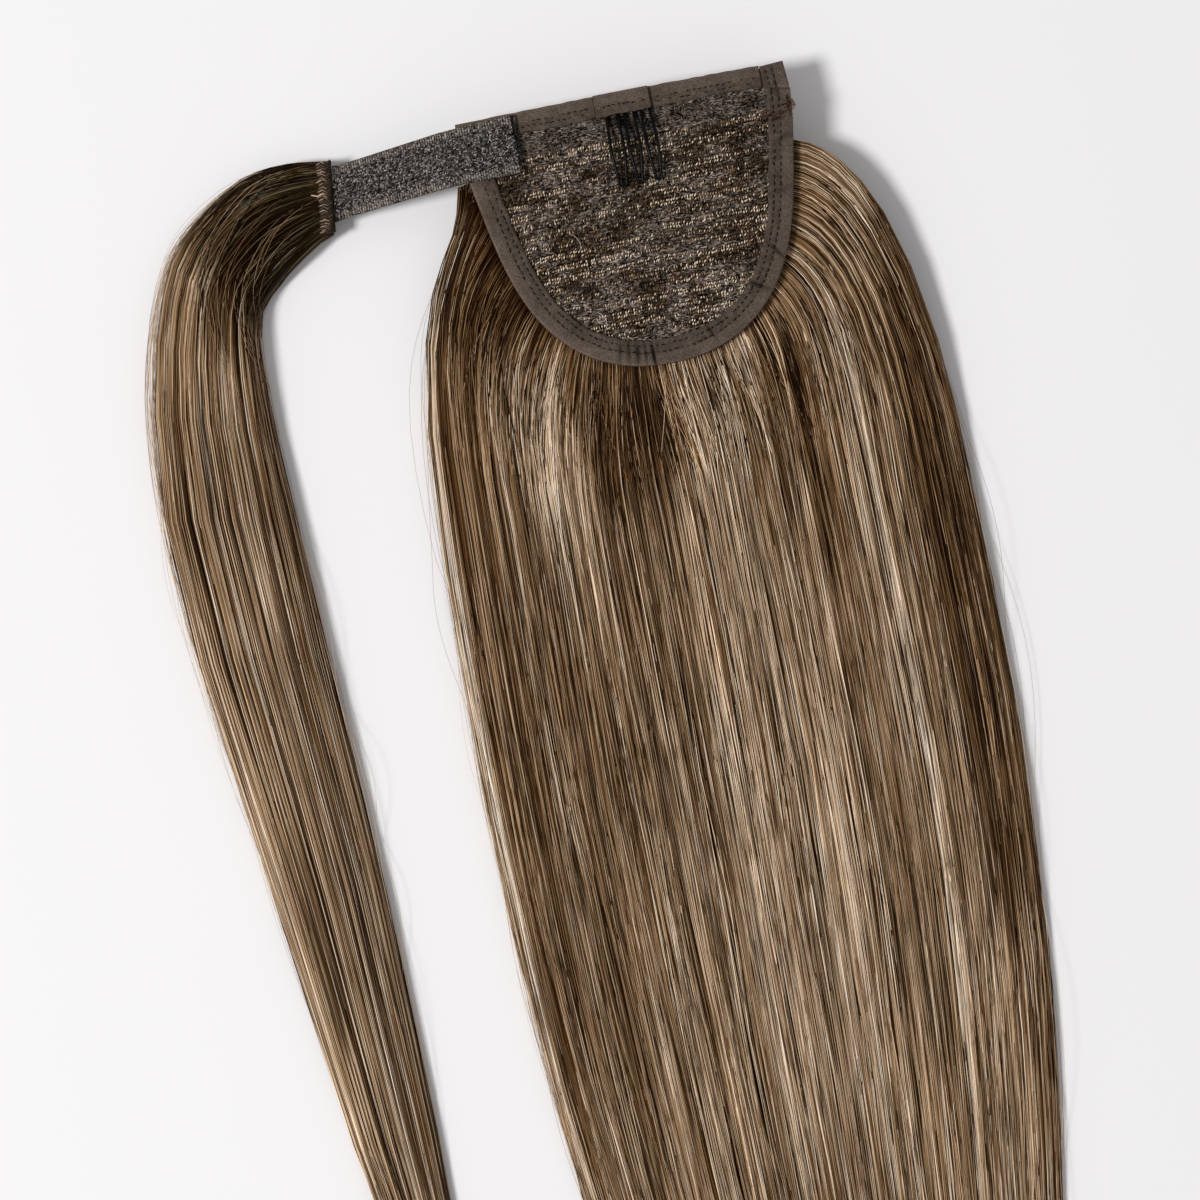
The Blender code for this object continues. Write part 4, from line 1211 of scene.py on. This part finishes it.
def make_tulle_threads():
    """Fine grey threads of the tulle, in hatched patches."""
    rng = np.random.default_rng(621)
    marks = np.arange(-57.0, 59.0, 2.3)
    many, upright = len(marks), 420
    bags = []
    for level in np.arange(-46.0, 40.5, 0.66):
        x = marks + rng.uniform(-0.9, 0.9, many)
        y = level + 0.5 * noise(x, level, 9.0, 77) + rng.normal(0.0, 0.07, many)
        keep = (rng.random(many) < tulle_share(x, y) * 1.1 - 0.12) & inside_panel(x, y, 0.6)
        bags.append(np.stack([x, y, 0 * x], axis=-1)[keep])
    x = np.round(rng.uniform(-50.0, 54.0, upright) / 0.9) * 0.9
    y = rng.uniform(31.0, 40.5, upright)
    bags.append(np.stack([x, y, np.ones(upright)], axis=-1)[noise(x, y, 6.0, 78) > 0.05])
    x, y, stands = np.concatenate(bags).T
    angle = 0.03 + rng.normal(0.0, 0.10, len(x)) + stands * math.pi / 2 + 0.22 * noise(x, y, 8.0, 79)
    length = rng.uniform(1.3, 3.2, len(x))
    radius = rng.uniform(0.10, 0.17, len(x))
    # Tulle threads under the comb are darkened by its painted shadow.
    light = rng.uniform(0.06, 1.0, len(x)) ** 1.4 * comb_painted_shadow(x, y) * (1.0 - 0.35 * plain_band(y))
    shape = short_threads(x, y, length, angle, radius, 0.16)
    add_piece("tulle_threads", shape, "tulle_thread", None, TULLE_GREY * 2.1 * light[:, None])


LOOSE_THREADS = (
    # x, y, length, angle_deg, bend
    (-24.5, -4.0, 7.5, 112.0, 0.5),
    (-20.0, -35.5, 9.0, 100.0, 0.7),
    (25.5, -37.5, 8.0, 55.0, -0.9),
    (30.0, -33.5, 5.0, 75.0, 0.8),
    (-30.5, 12.0, 4.0, 130.0, 0.6),
    (8.0, -20.0, 4.5, 20.0, -0.6),
    (-37.0, -12.0, 4.0, 65.0, 0.9),
    (38.0, 8.0, 4.5, 160.0, 0.5),
    (-10.0, -30.0, 4.5, 80.0, -0.7),
    (47.0, 27.5, 6.5, 12.0, -0.5),
    (14.0, 5.0, 3.5, 45.0, 0.7),
)
DARK_COUNT, KNOT_COUNT = 520, 34
BENT_STATIONS = 7


def uneven(rng, colour, low, high, count):
    """A colour for each of many threads, lighter or darker by a random share."""
    return np.array(colour) * rng.uniform(low, high, (count, 1))


def bent_threads(x, y, length, angle, bend, lift):
    share = np.linspace(-0.5, 0.5, BENT_STATIONS)[None, :]
    turn = angle[:, None] + bend[:, None] * share * 1.4
    px = x[:, None] + np.cos(turn) * share * length[:, None]
    py = y[:, None] + np.sin(turn) * share * length[:, None]
    pz = net_level(px, py) + lift[:, None] * (1.0 - 0.8 * (2 * share) ** 2)
    return np.stack([px, py, pz], axis=-1)


def make_net_threads():
    """Loose pale threads, and dark brown ones that run along the wefts."""
    rng = np.random.default_rng(611)
    x, y, length, angle, bend = np.array(LOOSE_THREADS).T
    pale = tubes(bent_threads(x, y, length, np.radians(angle), bend, np.full(len(x), 0.9)), 0.085, 4)
    colours = [spread(uneven(rng, (0.50, 0.46, 0.42), 0.6, 1.3, len(x)), len(pale[0]))]
    x, row = rng.uniform(-52.0, 54.0, DARK_COUNT), rng.integers(0, WEFT_ROWS, DARK_COUNT)
    y = weft_y(row, x) + rng.choice([-1.25, 0.0, 1.25], DARK_COUNT) + rng.normal(0.0, 0.2, DARK_COUNT)
    keep = inside_panel(x, y, -1.5)
    x, y = x[keep], y[keep]
    length, angle = rng.uniform(3.0, 8.0, len(x)), rng.normal(0.02, 0.10, len(x))
    path = bent_threads(x, y, length, angle, rng.uniform(-0.3, 0.3, len(x)), np.full(len(x), 0.30))
    dark = tubes(path, 0.16)
    colours.append(spread(uneven(rng, (0.040, 0.022, 0.013), 0.4, 2.0, len(x)), len(dark[0])))
    add_piece("net_threads", joined([pale, dark]), "loose_thread", None, np.concatenate(colours))


def make_corner_knot():
    """Tangle of brown thread ends sewn into the right corner, with some that run to the net."""
    rng, count = np.random.default_rng(617), KNOT_COUNT
    x, y = rng.normal(62.9, 1.1, count), rng.normal(31.2, 1.4, count)
    length, bend = rng.uniform(2.0, 5.0, count), rng.uniform(-3.4, 3.4, count)
    angle, lift = rng.uniform(0.0, math.pi, count), rng.uniform(1.5, 2.8, count)
    tails = rng.random(count) < 0.35
    x = np.where(tails, rng.uniform(50.0, 60.0, count), x)
    y = np.where(tails, rng.normal(28.6, 0.9, count), y)
    length = np.where(tails, rng.uniform(5.0, 10.0, count), length)
    bend = np.where(tails, bend * 0.25, bend)
    angle = np.where(tails, rng.normal(0.20, 0.16, count), angle)
    lift = np.where(tails, 1.75, lift)
    shape = tubes(bent_threads(x, y, length, angle, bend, lift), rng.uniform(0.13, 0.22, (count, 1)), 4)
    brown = uneven(rng, (0.072, 0.036, 0.022), 0.25, 1.7, count)
    add_piece("corner_knot", shape, "loose_thread", None, brown)


# Folded tape with two stitch rows
# Folds pressed across the tape: make_fold sinks its face there and darkens it with painted shade.
CREASES = (
    # x, y, half_width, depth, slant
    (38.5, -33.0, 0.9, 0.60, 0.35),
    (48.4, -21.8, 0.8, 0.55, -0.3),
    (18.0, -46.9, 0.5, 0.45, 0.2),
    (-10.6, -50.0, 0.9, 0.60, 0.1),
    (-13.8, -49.2, 0.7, 0.50, 0.1),
    (-17.0, -48.3, 0.6, 0.40, 0.1),
    (-7.6, -51.2, 0.5, 0.50, 0.1),
    (-44.0, -24.0, 1.6, 0.25, 0.5),
    (-33.0, -37.0, 1.2, 0.22, -0.5),
    (54.5, 0.0, 1.6, 0.22, 0.4),
    (60.0, 20.0, 1.2, 0.30, 0.2),
    (-58.5, 12.0, 1.3, 0.28, -0.3),
)
JOIN_CREASE = (-4.8, -52.0, 0.6, 0.9, 0.12)
SEAMS = (
    # start_x, start_y, end_x, end_y, half_width, lightness
    (59.9, 47.6, 60.3, 34.0, 0.40, 0.35),
    (55.9, 40.2, 65.9, 38.2, 0.35, 1.45),
    (56.5, 39.3, 65.9, 37.3, 0.35, 0.50),
)
STITCH_ROWS = (4.9, 7.4)
TAPE_COLOUR = np.array([0.112, 0.083, 0.064])
DARK_THREAD = np.array([0.012, 0.007, 0.005])
DOWN = np.array([[0.0, -1.0]])
TAPE_LEVEL = NET_THICKNESS + TAPE_GAP
TAB_LEVEL = COMB_ARCH[0][1] + COMB_WIRE_RADIUS + TAPE_GAP


def fold_profile(width, bottom_of_upper):
    """Inset and height of points round a folded tape, and which of them lie on its face."""
    top, under = bottom_of_upper + TAPE_THICKNESS, -TAPE_GAP - TAPE_THICKNESS
    profile = [(width, bottom_of_upper)] + [(inset, top) for inset in np.linspace(width, 1.1, 12)]
    profile += [(0.35, top - 0.2), (0.0, top - 0.8), (0.0, under + 0.6), (0.35, under)]
    profile += [(TAPE_LOWER_WIDTH, under), (TAPE_LOWER_WIDTH, -TAPE_GAP)]
    profile += [(TAPE_THICKNESS, -TAPE_GAP), (TAPE_THICKNESS, bottom_of_upper)]
    inset, height = np.array(profile).T
    on_face = np.zeros(len(inset), bool)
    on_face[1:15] = True
    return inset, height, on_face


def tape_relief(x, y, inset, width):
    """Puckers along the stitch rows, a soft overall wave and worn folds."""
    relief = 0.20 * noise(x, y, 9.0, 81) + 0.09 * noise(x, y, 2.6, 82)
    for row in STITCH_ROWS:
        relief = relief - (0.22 + 0.16 * noise(x, y, 1.6, 83)) * bell((inset - row) / 0.45)
    welts = ease((x - 48.0) / 6.0) * ease((y + 16.0) / 8.0) * ease((inset - 4.0) / 1.0)
    relief = relief + welts * 0.22 * np.cos(inset * 2 * math.pi / 1.7)
    return relief - 0.25 * ease((inset - width + 0.9) / 0.9)


def crease_depth(x, y, creases=CREASES):
    """Depth of the folds pressed across the tape."""
    depth = np.zeros(np.shape(x))
    for cx, cy, half, amount, slant in creases:
        out = math.atan2(cy - RIM_TOP_Y * 0.4, cx - RIM_CENTRE_X) + slant
        along = -(x - cx) * math.sin(out) + (y - cy) * math.cos(out)
        reach = (x - cx) * math.cos(out) + (y - cy) * math.sin(out)
        depth = np.maximum(depth, amount * np.exp(-((along / half) ** 2) - (reach / 4.5) ** 2))
    return depth


def seam_shade(x, y):
    """Lightness of the seams at the right corner, where one tape is sewn over the other."""
    shade = np.ones(np.shape(x))
    for start_x, start_y, end_x, end_y, half, light in SEAMS:
        length = math.hypot(end_x - start_x, end_y - start_y)
        dx, dy = (end_x - start_x) / length, (end_y - start_y) / length
        along = (x - start_x) * dx + (y - start_y) * dy
        away = ((x - start_x) * dy - (y - start_y) * dx) / half
        inside = ease(along / 0.6) * ease((length - along) / 0.6)
        shade = shade * (1.0 + (light - 1.0) * bell(away) * inside)
    return shade


def make_fold(name, edge, inward, width, bottom_of_upper, node_name, seed):
    """Folded tape along an edge line."""
    inset, height, on_face = fold_profile(width, bottom_of_upper)
    run = np.arange(len(edge))[:, None] * 0.4
    waver = 0.45 * noise(run, seed * 7.7, 5.0, 86) + 0.2 * noise(run, seed * 3.1, 1.8, 87)
    at_inner = np.where(on_face | (height == bottom_of_upper), ease((inset - width + 1.6) / 1.6), 0.0)
    inset = inset + waver * at_inner
    flat = edge[:, None] + inward[:, None] * inset[..., None]
    x, y = flat[..., 0], flat[..., 1]
    creases, gap = crease_depth(x, y), crease_depth(x, y, [JOIN_CREASE])
    z = base_z(x, y) + height + np.where(on_face, tape_relief(x, y, inset, width) - creases - gap, 0.0)
    wear = 1.0 + 0.14 * noise(x, y, 5.0, 84) + 0.10 * noise(x, y, 1.1, 85)
    # Painted highlight along the folded outer edge; the face is also darker inward of 3.9 mm.
    rim_highlight_and_inner_band = 1.0 + 0.30 * bell((inset - 0.35) / 0.45)
    rim_highlight_and_inner_band = rim_highlight_and_inner_band - 0.22 * ease((inset - 3.9) / 1.0) * (1.0 + 0.8 * noise(x, y, 1.5, 88))
    # Painted shade in the creases and in the join between the tape's two ends.
    dark = 1.0 - 0.80 * np.clip(creases / 0.6, 0, 1) - 0.95 * np.clip(gap / 0.7, 0, 1)
    light = wear * rim_highlight_and_inner_band * np.maximum(dark * seam_shade(x, y), 0.08)
    shape = swept(np.stack([x, y, z], axis=-1))
    add_piece(name, shape, "binding_tape", node_name, TAPE_COLOUR * light[..., None])


def stitch_paths(start, end, rise):
    """Short arched stitches from start to end, with four stations each."""
    shares, arch = np.array([0.0, 0.25, 0.75, 1.0]), np.array([-0.15, 1.0, 1.0, -0.15])
    paths = start[:, None] + (end - start)[:, None] * shares[None, :, None]
    paths[..., 2] += arch[None, :] * rise
    return paths


def make_tape_stitches(name, edge, inward, rows, level, pitch, seed, colour):
    """Rows of short sewn stitches along a tape, sunk in their puckers."""
    rng = np.random.default_rng(seed)
    run = runs_along(edge)
    starts, ends = [], []
    for inset in rows:
        marks = np.arange(pitch, run[-1] - pitch, pitch) + rng.normal(0, 0.12)
        for bag, offset in ((starts, 0.0), (ends, pitch * 0.5)):
            line = [np.interp(marks + offset, run, (edge + inward * inset)[:, k]) for k in (0, 1)]
            bag.append(np.stack(line, axis=-1))
    start, end = np.concatenate(starts), np.concatenate(ends)
    end = end + rng.normal(0.0, 0.22, end.shape)
    keep = rng.random(len(start)) < 0.93
    points = []
    for x, y in (start[keep].T, end[keep].T):
        sunk = 0.22 + crease_depth(x, y)
        points.append(np.column_stack([x, y, base_z(x, y) + level - sunk + 0.10]))
    one = (len(points[0]), 1)
    shape = tubes(stitch_paths(*points, 0.26), rng.uniform(0.17, 0.27, one), 5)
    shade = np.where(rng.random(one) < 0.3, colour, DARK_THREAD) * rng.uniform(0.6, 1.4, one)
    add_piece(name, shape, "sewing_thread", None, shade)


def make_bindings():
    edge = binding_path(760)
    inward = -outward(edge)
    make_fold("edge_tape", edge, inward, TAPE_WIDTH, TAPE_LEVEL, "edge_binding", 1)
    level = TAPE_LEVEL + TAPE_THICKNESS
    umber = (0.060, 0.034, 0.024)
    make_tape_stitches("edge_tape_stitches", edge, inward, STITCH_ROWS, level, 2.5, 621, umber)
    left, right = RIM[0][0] - SHOULDER_OUT, float(panel_edges(TOP_EDGE_Y, TAPE_WIDTH + 0.05)[1])
    brown = (0.160, 0.085, 0.052)
    tops = (
        # name, node, start_x, end_x
        ("top_tape_left", "top_binding_left", left, TAB_LEFT_X),
        ("top_tape_right", "top_binding_right", TAB_RIGHT_X, right),
    )
    for i, (name, node_name, start, end) in enumerate(tops):
        xs = np.linspace(start, end, int((end - start) / 0.5))
        line = np.stack([xs, TOP_EDGE_Y - 0.12 + 0.12 * noise(xs, i * 9.0, 3.0, 89)], axis=-1)[::-1]
        make_fold(name, line, DOWN, TOP_TAPE_WIDTH, TAPE_LEVEL, node_name, 2 + i)
        make_tape_stitches(name + "_stitches", line, DOWN, (4.5, 6.3), level, 2.3, 630 + i, brown)
    xs = np.linspace(TAB_LEFT_X, TAB_RIGHT_X, 60)
    line = np.stack([xs, np.full_like(xs, TOP_EDGE_Y)], axis=-1)[::-1]
    make_fold("comb_tab_cloth", line, DOWN, TAB_WIDTH, TAB_LEVEL, "comb_tab", 5)
    level, tan = TAB_LEVEL + TAPE_THICKNESS, (0.22, 0.12, 0.075)
    make_tape_stitches("comb_tab_stitches", line, DOWN, (5.1,), level, 1.9, 640, tan)


# Wire comb
TIP_RISE = 1.1


def comb_line():
    """Centre line of the bent wire, with rounded turns."""
    points = []
    legs = np.linspace(COMB_BAR_Y, COMB_TIP_Y + TIP_RISE, 22)
    share = (COMB_BAR_Y - legs) / (COMB_BAR_Y - COMB_TIP_Y)
    bow = COMB_BOW * np.sin(share**1.2 * math.pi) ** 2
    for root_left, root_right, tip_left, tip_right in COMB_PINS:
        points += list(zip(blend(root_left, tip_left, share) - bow * 0.9, legs))
        middle, half = (tip_left + tip_right) / 2, (tip_right - tip_left) / 2
        for turn in np.linspace(math.pi, 2 * math.pi, 9)[1:-1]:
            y = COMB_TIP_Y + TIP_RISE + TIP_RISE * math.sin(turn)
            points.append((middle + half * math.cos(turn), y))
        points += list(zip((blend(root_right, tip_right, share) + bow)[::-1], legs[::-1]))
    x, y = np.array(points).T
    return np.column_stack([x, y, base_z(x, y) + table_values(COMB_ARCH, y, 1)])


def make_comb():
    line = even_points(comb_line(), 520)
    bead = 1.0 + 0.07 * np.sin(np.arange(len(line)) * 2.1) + 0.05 * noise(line[:, 1], line[:, 0], 1.2, 91)
    shape = tubes(line[None], COMB_WIRE_RADIUS * 1.08 * bead[None], 10)
    add_piece("comb_wires", shape, "black_wire", "wire_comb", [[0.0020, 0.0020, 0.0020]])


# Strap
RIB_STEP = 0.5
STRAP_WIDTH = 21.8
STRAP_COLOUR = np.array([0.072, 0.062, 0.055])
LOOP_COLOUR = np.array([0.600, 0.552, 0.505])
LOOP_COUNT = 2500


def strap_point(run, side):
    """A point of the strap's underside: run along its rows, side from its lower to upper edge."""
    ux, uy, lx, ly, z = rows_at(STRAP_ROWS, run)
    return np.stack([blend(lx, ux, side), blend(ly, uy, side), z + 0 * side], axis=-1)


def strap_runs():
    """Places along the strap's rows at even spacing, and its length."""
    fine = np.linspace(0.0, len(STRAP_ROWS) - 1.0, 900)
    run = runs_along(strap_point(fine, np.full_like(fine, 0.5)))
    return np.interp(np.arange(0.0, run[-1], RIB_STEP), run, fine), run[-1]


def make_strap():
    runs, length = strap_runs()
    sides = np.concatenate([[0.0], np.linspace(0.004, 0.996, 50), [1.0]])
    run, side = np.meshgrid(runs, sides, indexing="ij")
    under = strap_point(run, side)
    across = side * STRAP_WIDTH
    edge = np.minimum(across, STRAP_WIDTH - across)
    pile = ease((edge - SELVEDGE_WIDTH) / 0.5)
    walk = np.arange(len(runs))[:, None] * RIB_STEP
    wave = np.cos(walk * math.pi / RIB_STEP)
    rib = 0.12 * wave + 0.03 * noise(walk, across, 3.0, 101)
    rough = 0.20 * noise(walk, across, 0.55, 102) + 0.22 * noise(walk * 0.7, across * 1.5, 1.2, 103)
    lean = (across + 0.55 * walk) * 2 * math.pi / 2.1 + 2.2 * noise(walk, across, 3.2, 104)
    wavy = 0.16 * np.sin(lean)
    height = STRAP_THICKNESS - 0.45 + (1 - pile) * rib + pile * (0.22 + rough + wavy)
    top = under.copy()
    top[..., 2] += 0.3 + (height - 0.3) * ease(edge / 0.35) * blend(0.35, 1.0, ease(walk / 2.2))
    # The tint follows the relief: painted shade in the hollows of ribs and pile, lighter on their raised
    # tops, with random flecks.
    tint = (1 - pile) * (1.45 + 1.15 * wave) * (1.0 + 0.25 * noise(walk, across, 2.0, 106))
    tint = tint + pile * (0.42 + 1.0 * rough + 0.9 * wavy + 0.12 * noise(walk, across, 7.0, 105))
    # Darker across both ends: a seam line by the base, and painted shade where the strap runs under the
    # weft head.
    end_seam_and_shade = bell((walk - 1.0) / 0.4) * 0.8 + bell((length - walk) / 1.1) * 0.93
    colours = STRAP_COLOUR * (np.clip(tint, 0.15, 2.8) * (1.0 - end_seam_and_shade))[..., None]
    shape = flipped(slab(top, under))
    piece = add_piece("strap_band", shape, "strap_pile", "hook_loop_strap", both_faces(colours))


def strap_underside(x):
    """Height of the strap's underside at x."""
    return np.interp(x, [row[0] for row in STRAP_ROWS[::-1]], [row[4] for row in STRAP_ROWS[::-1]])


def make_strap_loops():
    """Small loops of the pile, in wavy rows along the strap."""
    rng, one = np.random.default_rng(651), (LOOP_COUNT, 1)
    runs = strap_runs()[0]
    run = runs[rng.integers(3, len(runs) - 1, one)]
    margin = SELVEDGE_WIDTH + 0.5
    spot = strap_point(run, rng.uniform(margin, STRAP_WIDTH - margin, one) / STRAP_WIDTH)
    turn = rng.normal(0.5, 0.45, one) + np.where(rng.random(one) < 0.25, 1.5, 0.0)
    share = np.linspace(0.0, 1.0, 3)[None, :]
    arch = np.sin(share * math.pi)
    swing = (share - 0.5) * 2.0 * rng.uniform(0.30, 0.62, one)
    curl = 0.25 * arch * rng.choice([-1.0, 1.0], one)
    px = spot[..., 0] + np.cos(turn) * swing - np.sin(turn) * curl
    py = spot[..., 1] + np.sin(turn) * swing + np.cos(turn) * curl
    pz = strap_underside(px) + (spot[..., 2] - strap_underside(spot[..., 0]))
    pz = pz + STRAP_THICKNESS - 0.30 + 0.42 * arch
    shape = tubes(np.stack([px, py, pz], axis=-1), rng.uniform(0.11, 0.19, one))
    light = rng.uniform(0.10, 1.0, one) ** 2.4 + 0.48 * (rng.random(one) < 0.18)
    add_piece("strap_loops", shape, "strap_loop", None, LOOP_COLOUR * light)


# Weft head of the wrap lock
# Stitch columns over the weft head; the last is darkened as painted shade in the gap beside the strap.
HEAD_COLUMNS = (
    # left, right, lean, lightness
    (-5.3, -3.4, 0.10, 1.0),
    (-3.6, -2.0, -0.55, 0.85),
    (-2.1, -0.4, 0.45, 0.25),
)
HEAD_STITCHES = 24
HEAD_MIDDLE = (WEFT_HEAD_BOTTOM + WEFT_HEAD_TOP) / 2
HEAD_HALF_HEIGHT = (WEFT_HEAD_TOP - WEFT_HEAD_BOTTOM) / 2
TAIL = ((-115.2, 33.2, 11.2), (-117.0, 33.6, 11.6), (-119.0, 33.0, 11.3), (-121.3, 34.0, 10.6))


def head_line(shares):
    """Points down the weft head's right edge."""
    upper, lower = np.array(WEFT_HEAD_UPPER), np.array(WEFT_HEAD_LOWER)
    return upper + (lower - upper) * shares[:, None]


def make_weft_head():
    shares = np.linspace(0.0, 1.0, 90)
    marks = np.linspace(0.0, 2 * math.pi, 19)[:-1]
    centre = head_line(shares)
    half_width = WEFT_HEAD_WIDTH / 2
    swell = (1.0 + 0.05 * noise(shares * 27.0, 3.0, 1.6, 111))[:, None]
    x = centre[:, 0:1] - half_width + 0.3 + np.cos(marks) * half_width * swell
    y = np.broadcast_to(centre[:, 1:2], x.shape)
    z = HEAD_MIDDLE + np.sin(marks) * HEAD_HALF_HEIGHT * swell
    shade = np.array([0.030, 0.018, 0.011]) * (1 + 0.4 * noise(x, y, 1.1, 112))[..., None]
    shape = flipped(swept(np.stack([x, y, z], axis=-1)))
    add_piece("weft_head", shape, "weft_core", "wrap_weft", shade)


def make_head_stitches():
    """Three columns of slanted stitches over the weft head, and a loose thread end."""
    rng, many = np.random.default_rng(661), HEAD_STITCHES
    parts, shades = [], []
    for left, right, lean, light in HEAD_COLUMNS:
        middle = head_line(np.linspace(0.015, 0.985, many))
        middle = middle + rng.normal(0.0, 0.18, middle.shape)
        ends = []
        for out, up in ((left, -lean), (right, lean)):
            flat = middle + [out, up] + rng.normal(0.0, 0.16, (many, 2))
            away = (flat[:, 0] - middle[:, 0] + WEFT_HEAD_WIDTH / 2) / (WEFT_HEAD_WIDTH / 2)
            level = HEAD_MIDDLE + HEAD_HALF_HEIGHT * np.sqrt(np.maximum(1 - away * away, 0.0)) + 0.1
            ends.append(np.column_stack([flat, level]))
        parts.append(tubes(stitch_paths(*ends, 0.22), rng.uniform(0.16, 0.26, (many, 1)), 5))
        tan = uneven(rng, np.array([0.270, 0.190, 0.130]) * light, 0.20, 1.5, many)
        shades.append(spread(tan, len(parts[-1][0])))
    parts.append(tubes(np.array([TAIL]), 0.22, 5))
    shades.append(spread([[0.75, 0.45, 0.36]], len(parts[-1][0])))
    add_piece("weft_head_stitches", joined(parts), "weft_thread", None, np.concatenate(shades))


# Floor, light and camera, where the light's place and size are in metres
VIEW_CENTRE = (-42.5, -138.9, 18.0)
VIEW_SIDE = 456.0
VIEW_TURN = math.radians(-11.0)
LENS, SENSOR = 100.0, 36.0
KEY_RIGHT, KEY_UP, KEY_HEIGHT = -3.40, -0.90, 4.60
KEY_SIZE, KEY_WATTS = 1.40, 262.0
SKY_STRENGTH = 0.42


def make_floor():
    bpy.ops.mesh.primitive_plane_add(size=6.0, location=(0.0, 0.0, -0.0002))
    floor = bpy.context.object
    floor.name = "floor"
    finish = new_finish("pale_floor", 0.7, 0.2)
    shader = finish.node_tree.nodes["Principled BSDF"]
    shader.inputs["Base Color"].default_value = (0.865, 0.853, 0.858, 1.0)
    floor.data.materials.append(finish)


def make_lights():
    world = bpy.data.worlds.new("studio")
    bpy.context.scene.world = world
    world.use_nodes = True
    sky = world.node_tree.nodes["Background"]
    sky.inputs["Color"].default_value = (1.0, 0.995, 1.0, 1.0)
    sky.inputs["Strength"].default_value = SKY_STRENGTH
    lamp = bpy.data.lights.new("key", "AREA")
    lamp.shape = "DISK"
    lamp.size = KEY_SIZE
    lamp.energy = KEY_WATTS
    item = add_to_scene("key", lamp)
    centre = place([VIEW_CENTRE])[0]
    right = np.array([math.cos(VIEW_TURN), math.sin(VIEW_TURN), 0.0])
    up = np.array([-math.sin(VIEW_TURN), math.cos(VIEW_TURN), 0.0])
    item.location = centre + right * KEY_RIGHT + up * KEY_UP + np.array([0.0, 0.0, KEY_HEIGHT])
    item.rotation_euler = (Vector(centre) - item.location).to_track_quat("-Z", "Y").to_euler()


def make_camera():
    data = bpy.data.cameras.new("camera")
    data.lens, data.sensor_width = LENS, SENSOR
    data.clip_end = 20.0
    camera = add_to_scene("camera", data)
    spot = place([VIEW_CENTRE])[0]
    spot[2] += VIEW_SIDE * MM * LENS / SENSOR
    camera.location = spot
    camera.rotation_euler = (0.0, 0.0, VIEW_TURN)
    bpy.context.scene.camera = camera
    bpy.context.scene.view_settings.view_transform = "Standard"


def make_finishes():
    for row in TINTED:
        make_tinted(*row)
    for row in SPECKLED:
        make_speckled(*row)
    make_woven()
    make_hair_finishes()


make_camera()
make_floor()
make_lights()
make_finishes()
make_main_hair()
make_top_hair()
make_lower_hair()
make_main_underlay()
make_nest()
make_nest_strands()
make_wrap_hair()
make_wrap_side()
make_wrap_underlay()
make_loose_hairs()
make_bend_strays()
make_net()
make_weft_stitches()
make_tulle_threads()
make_net_threads()
make_corner_knot()
make_bindings()
make_comb()
make_strap()
make_strap_loops()
make_weft_head()
make_head_stitches()

bpy.context.view_layer.update()
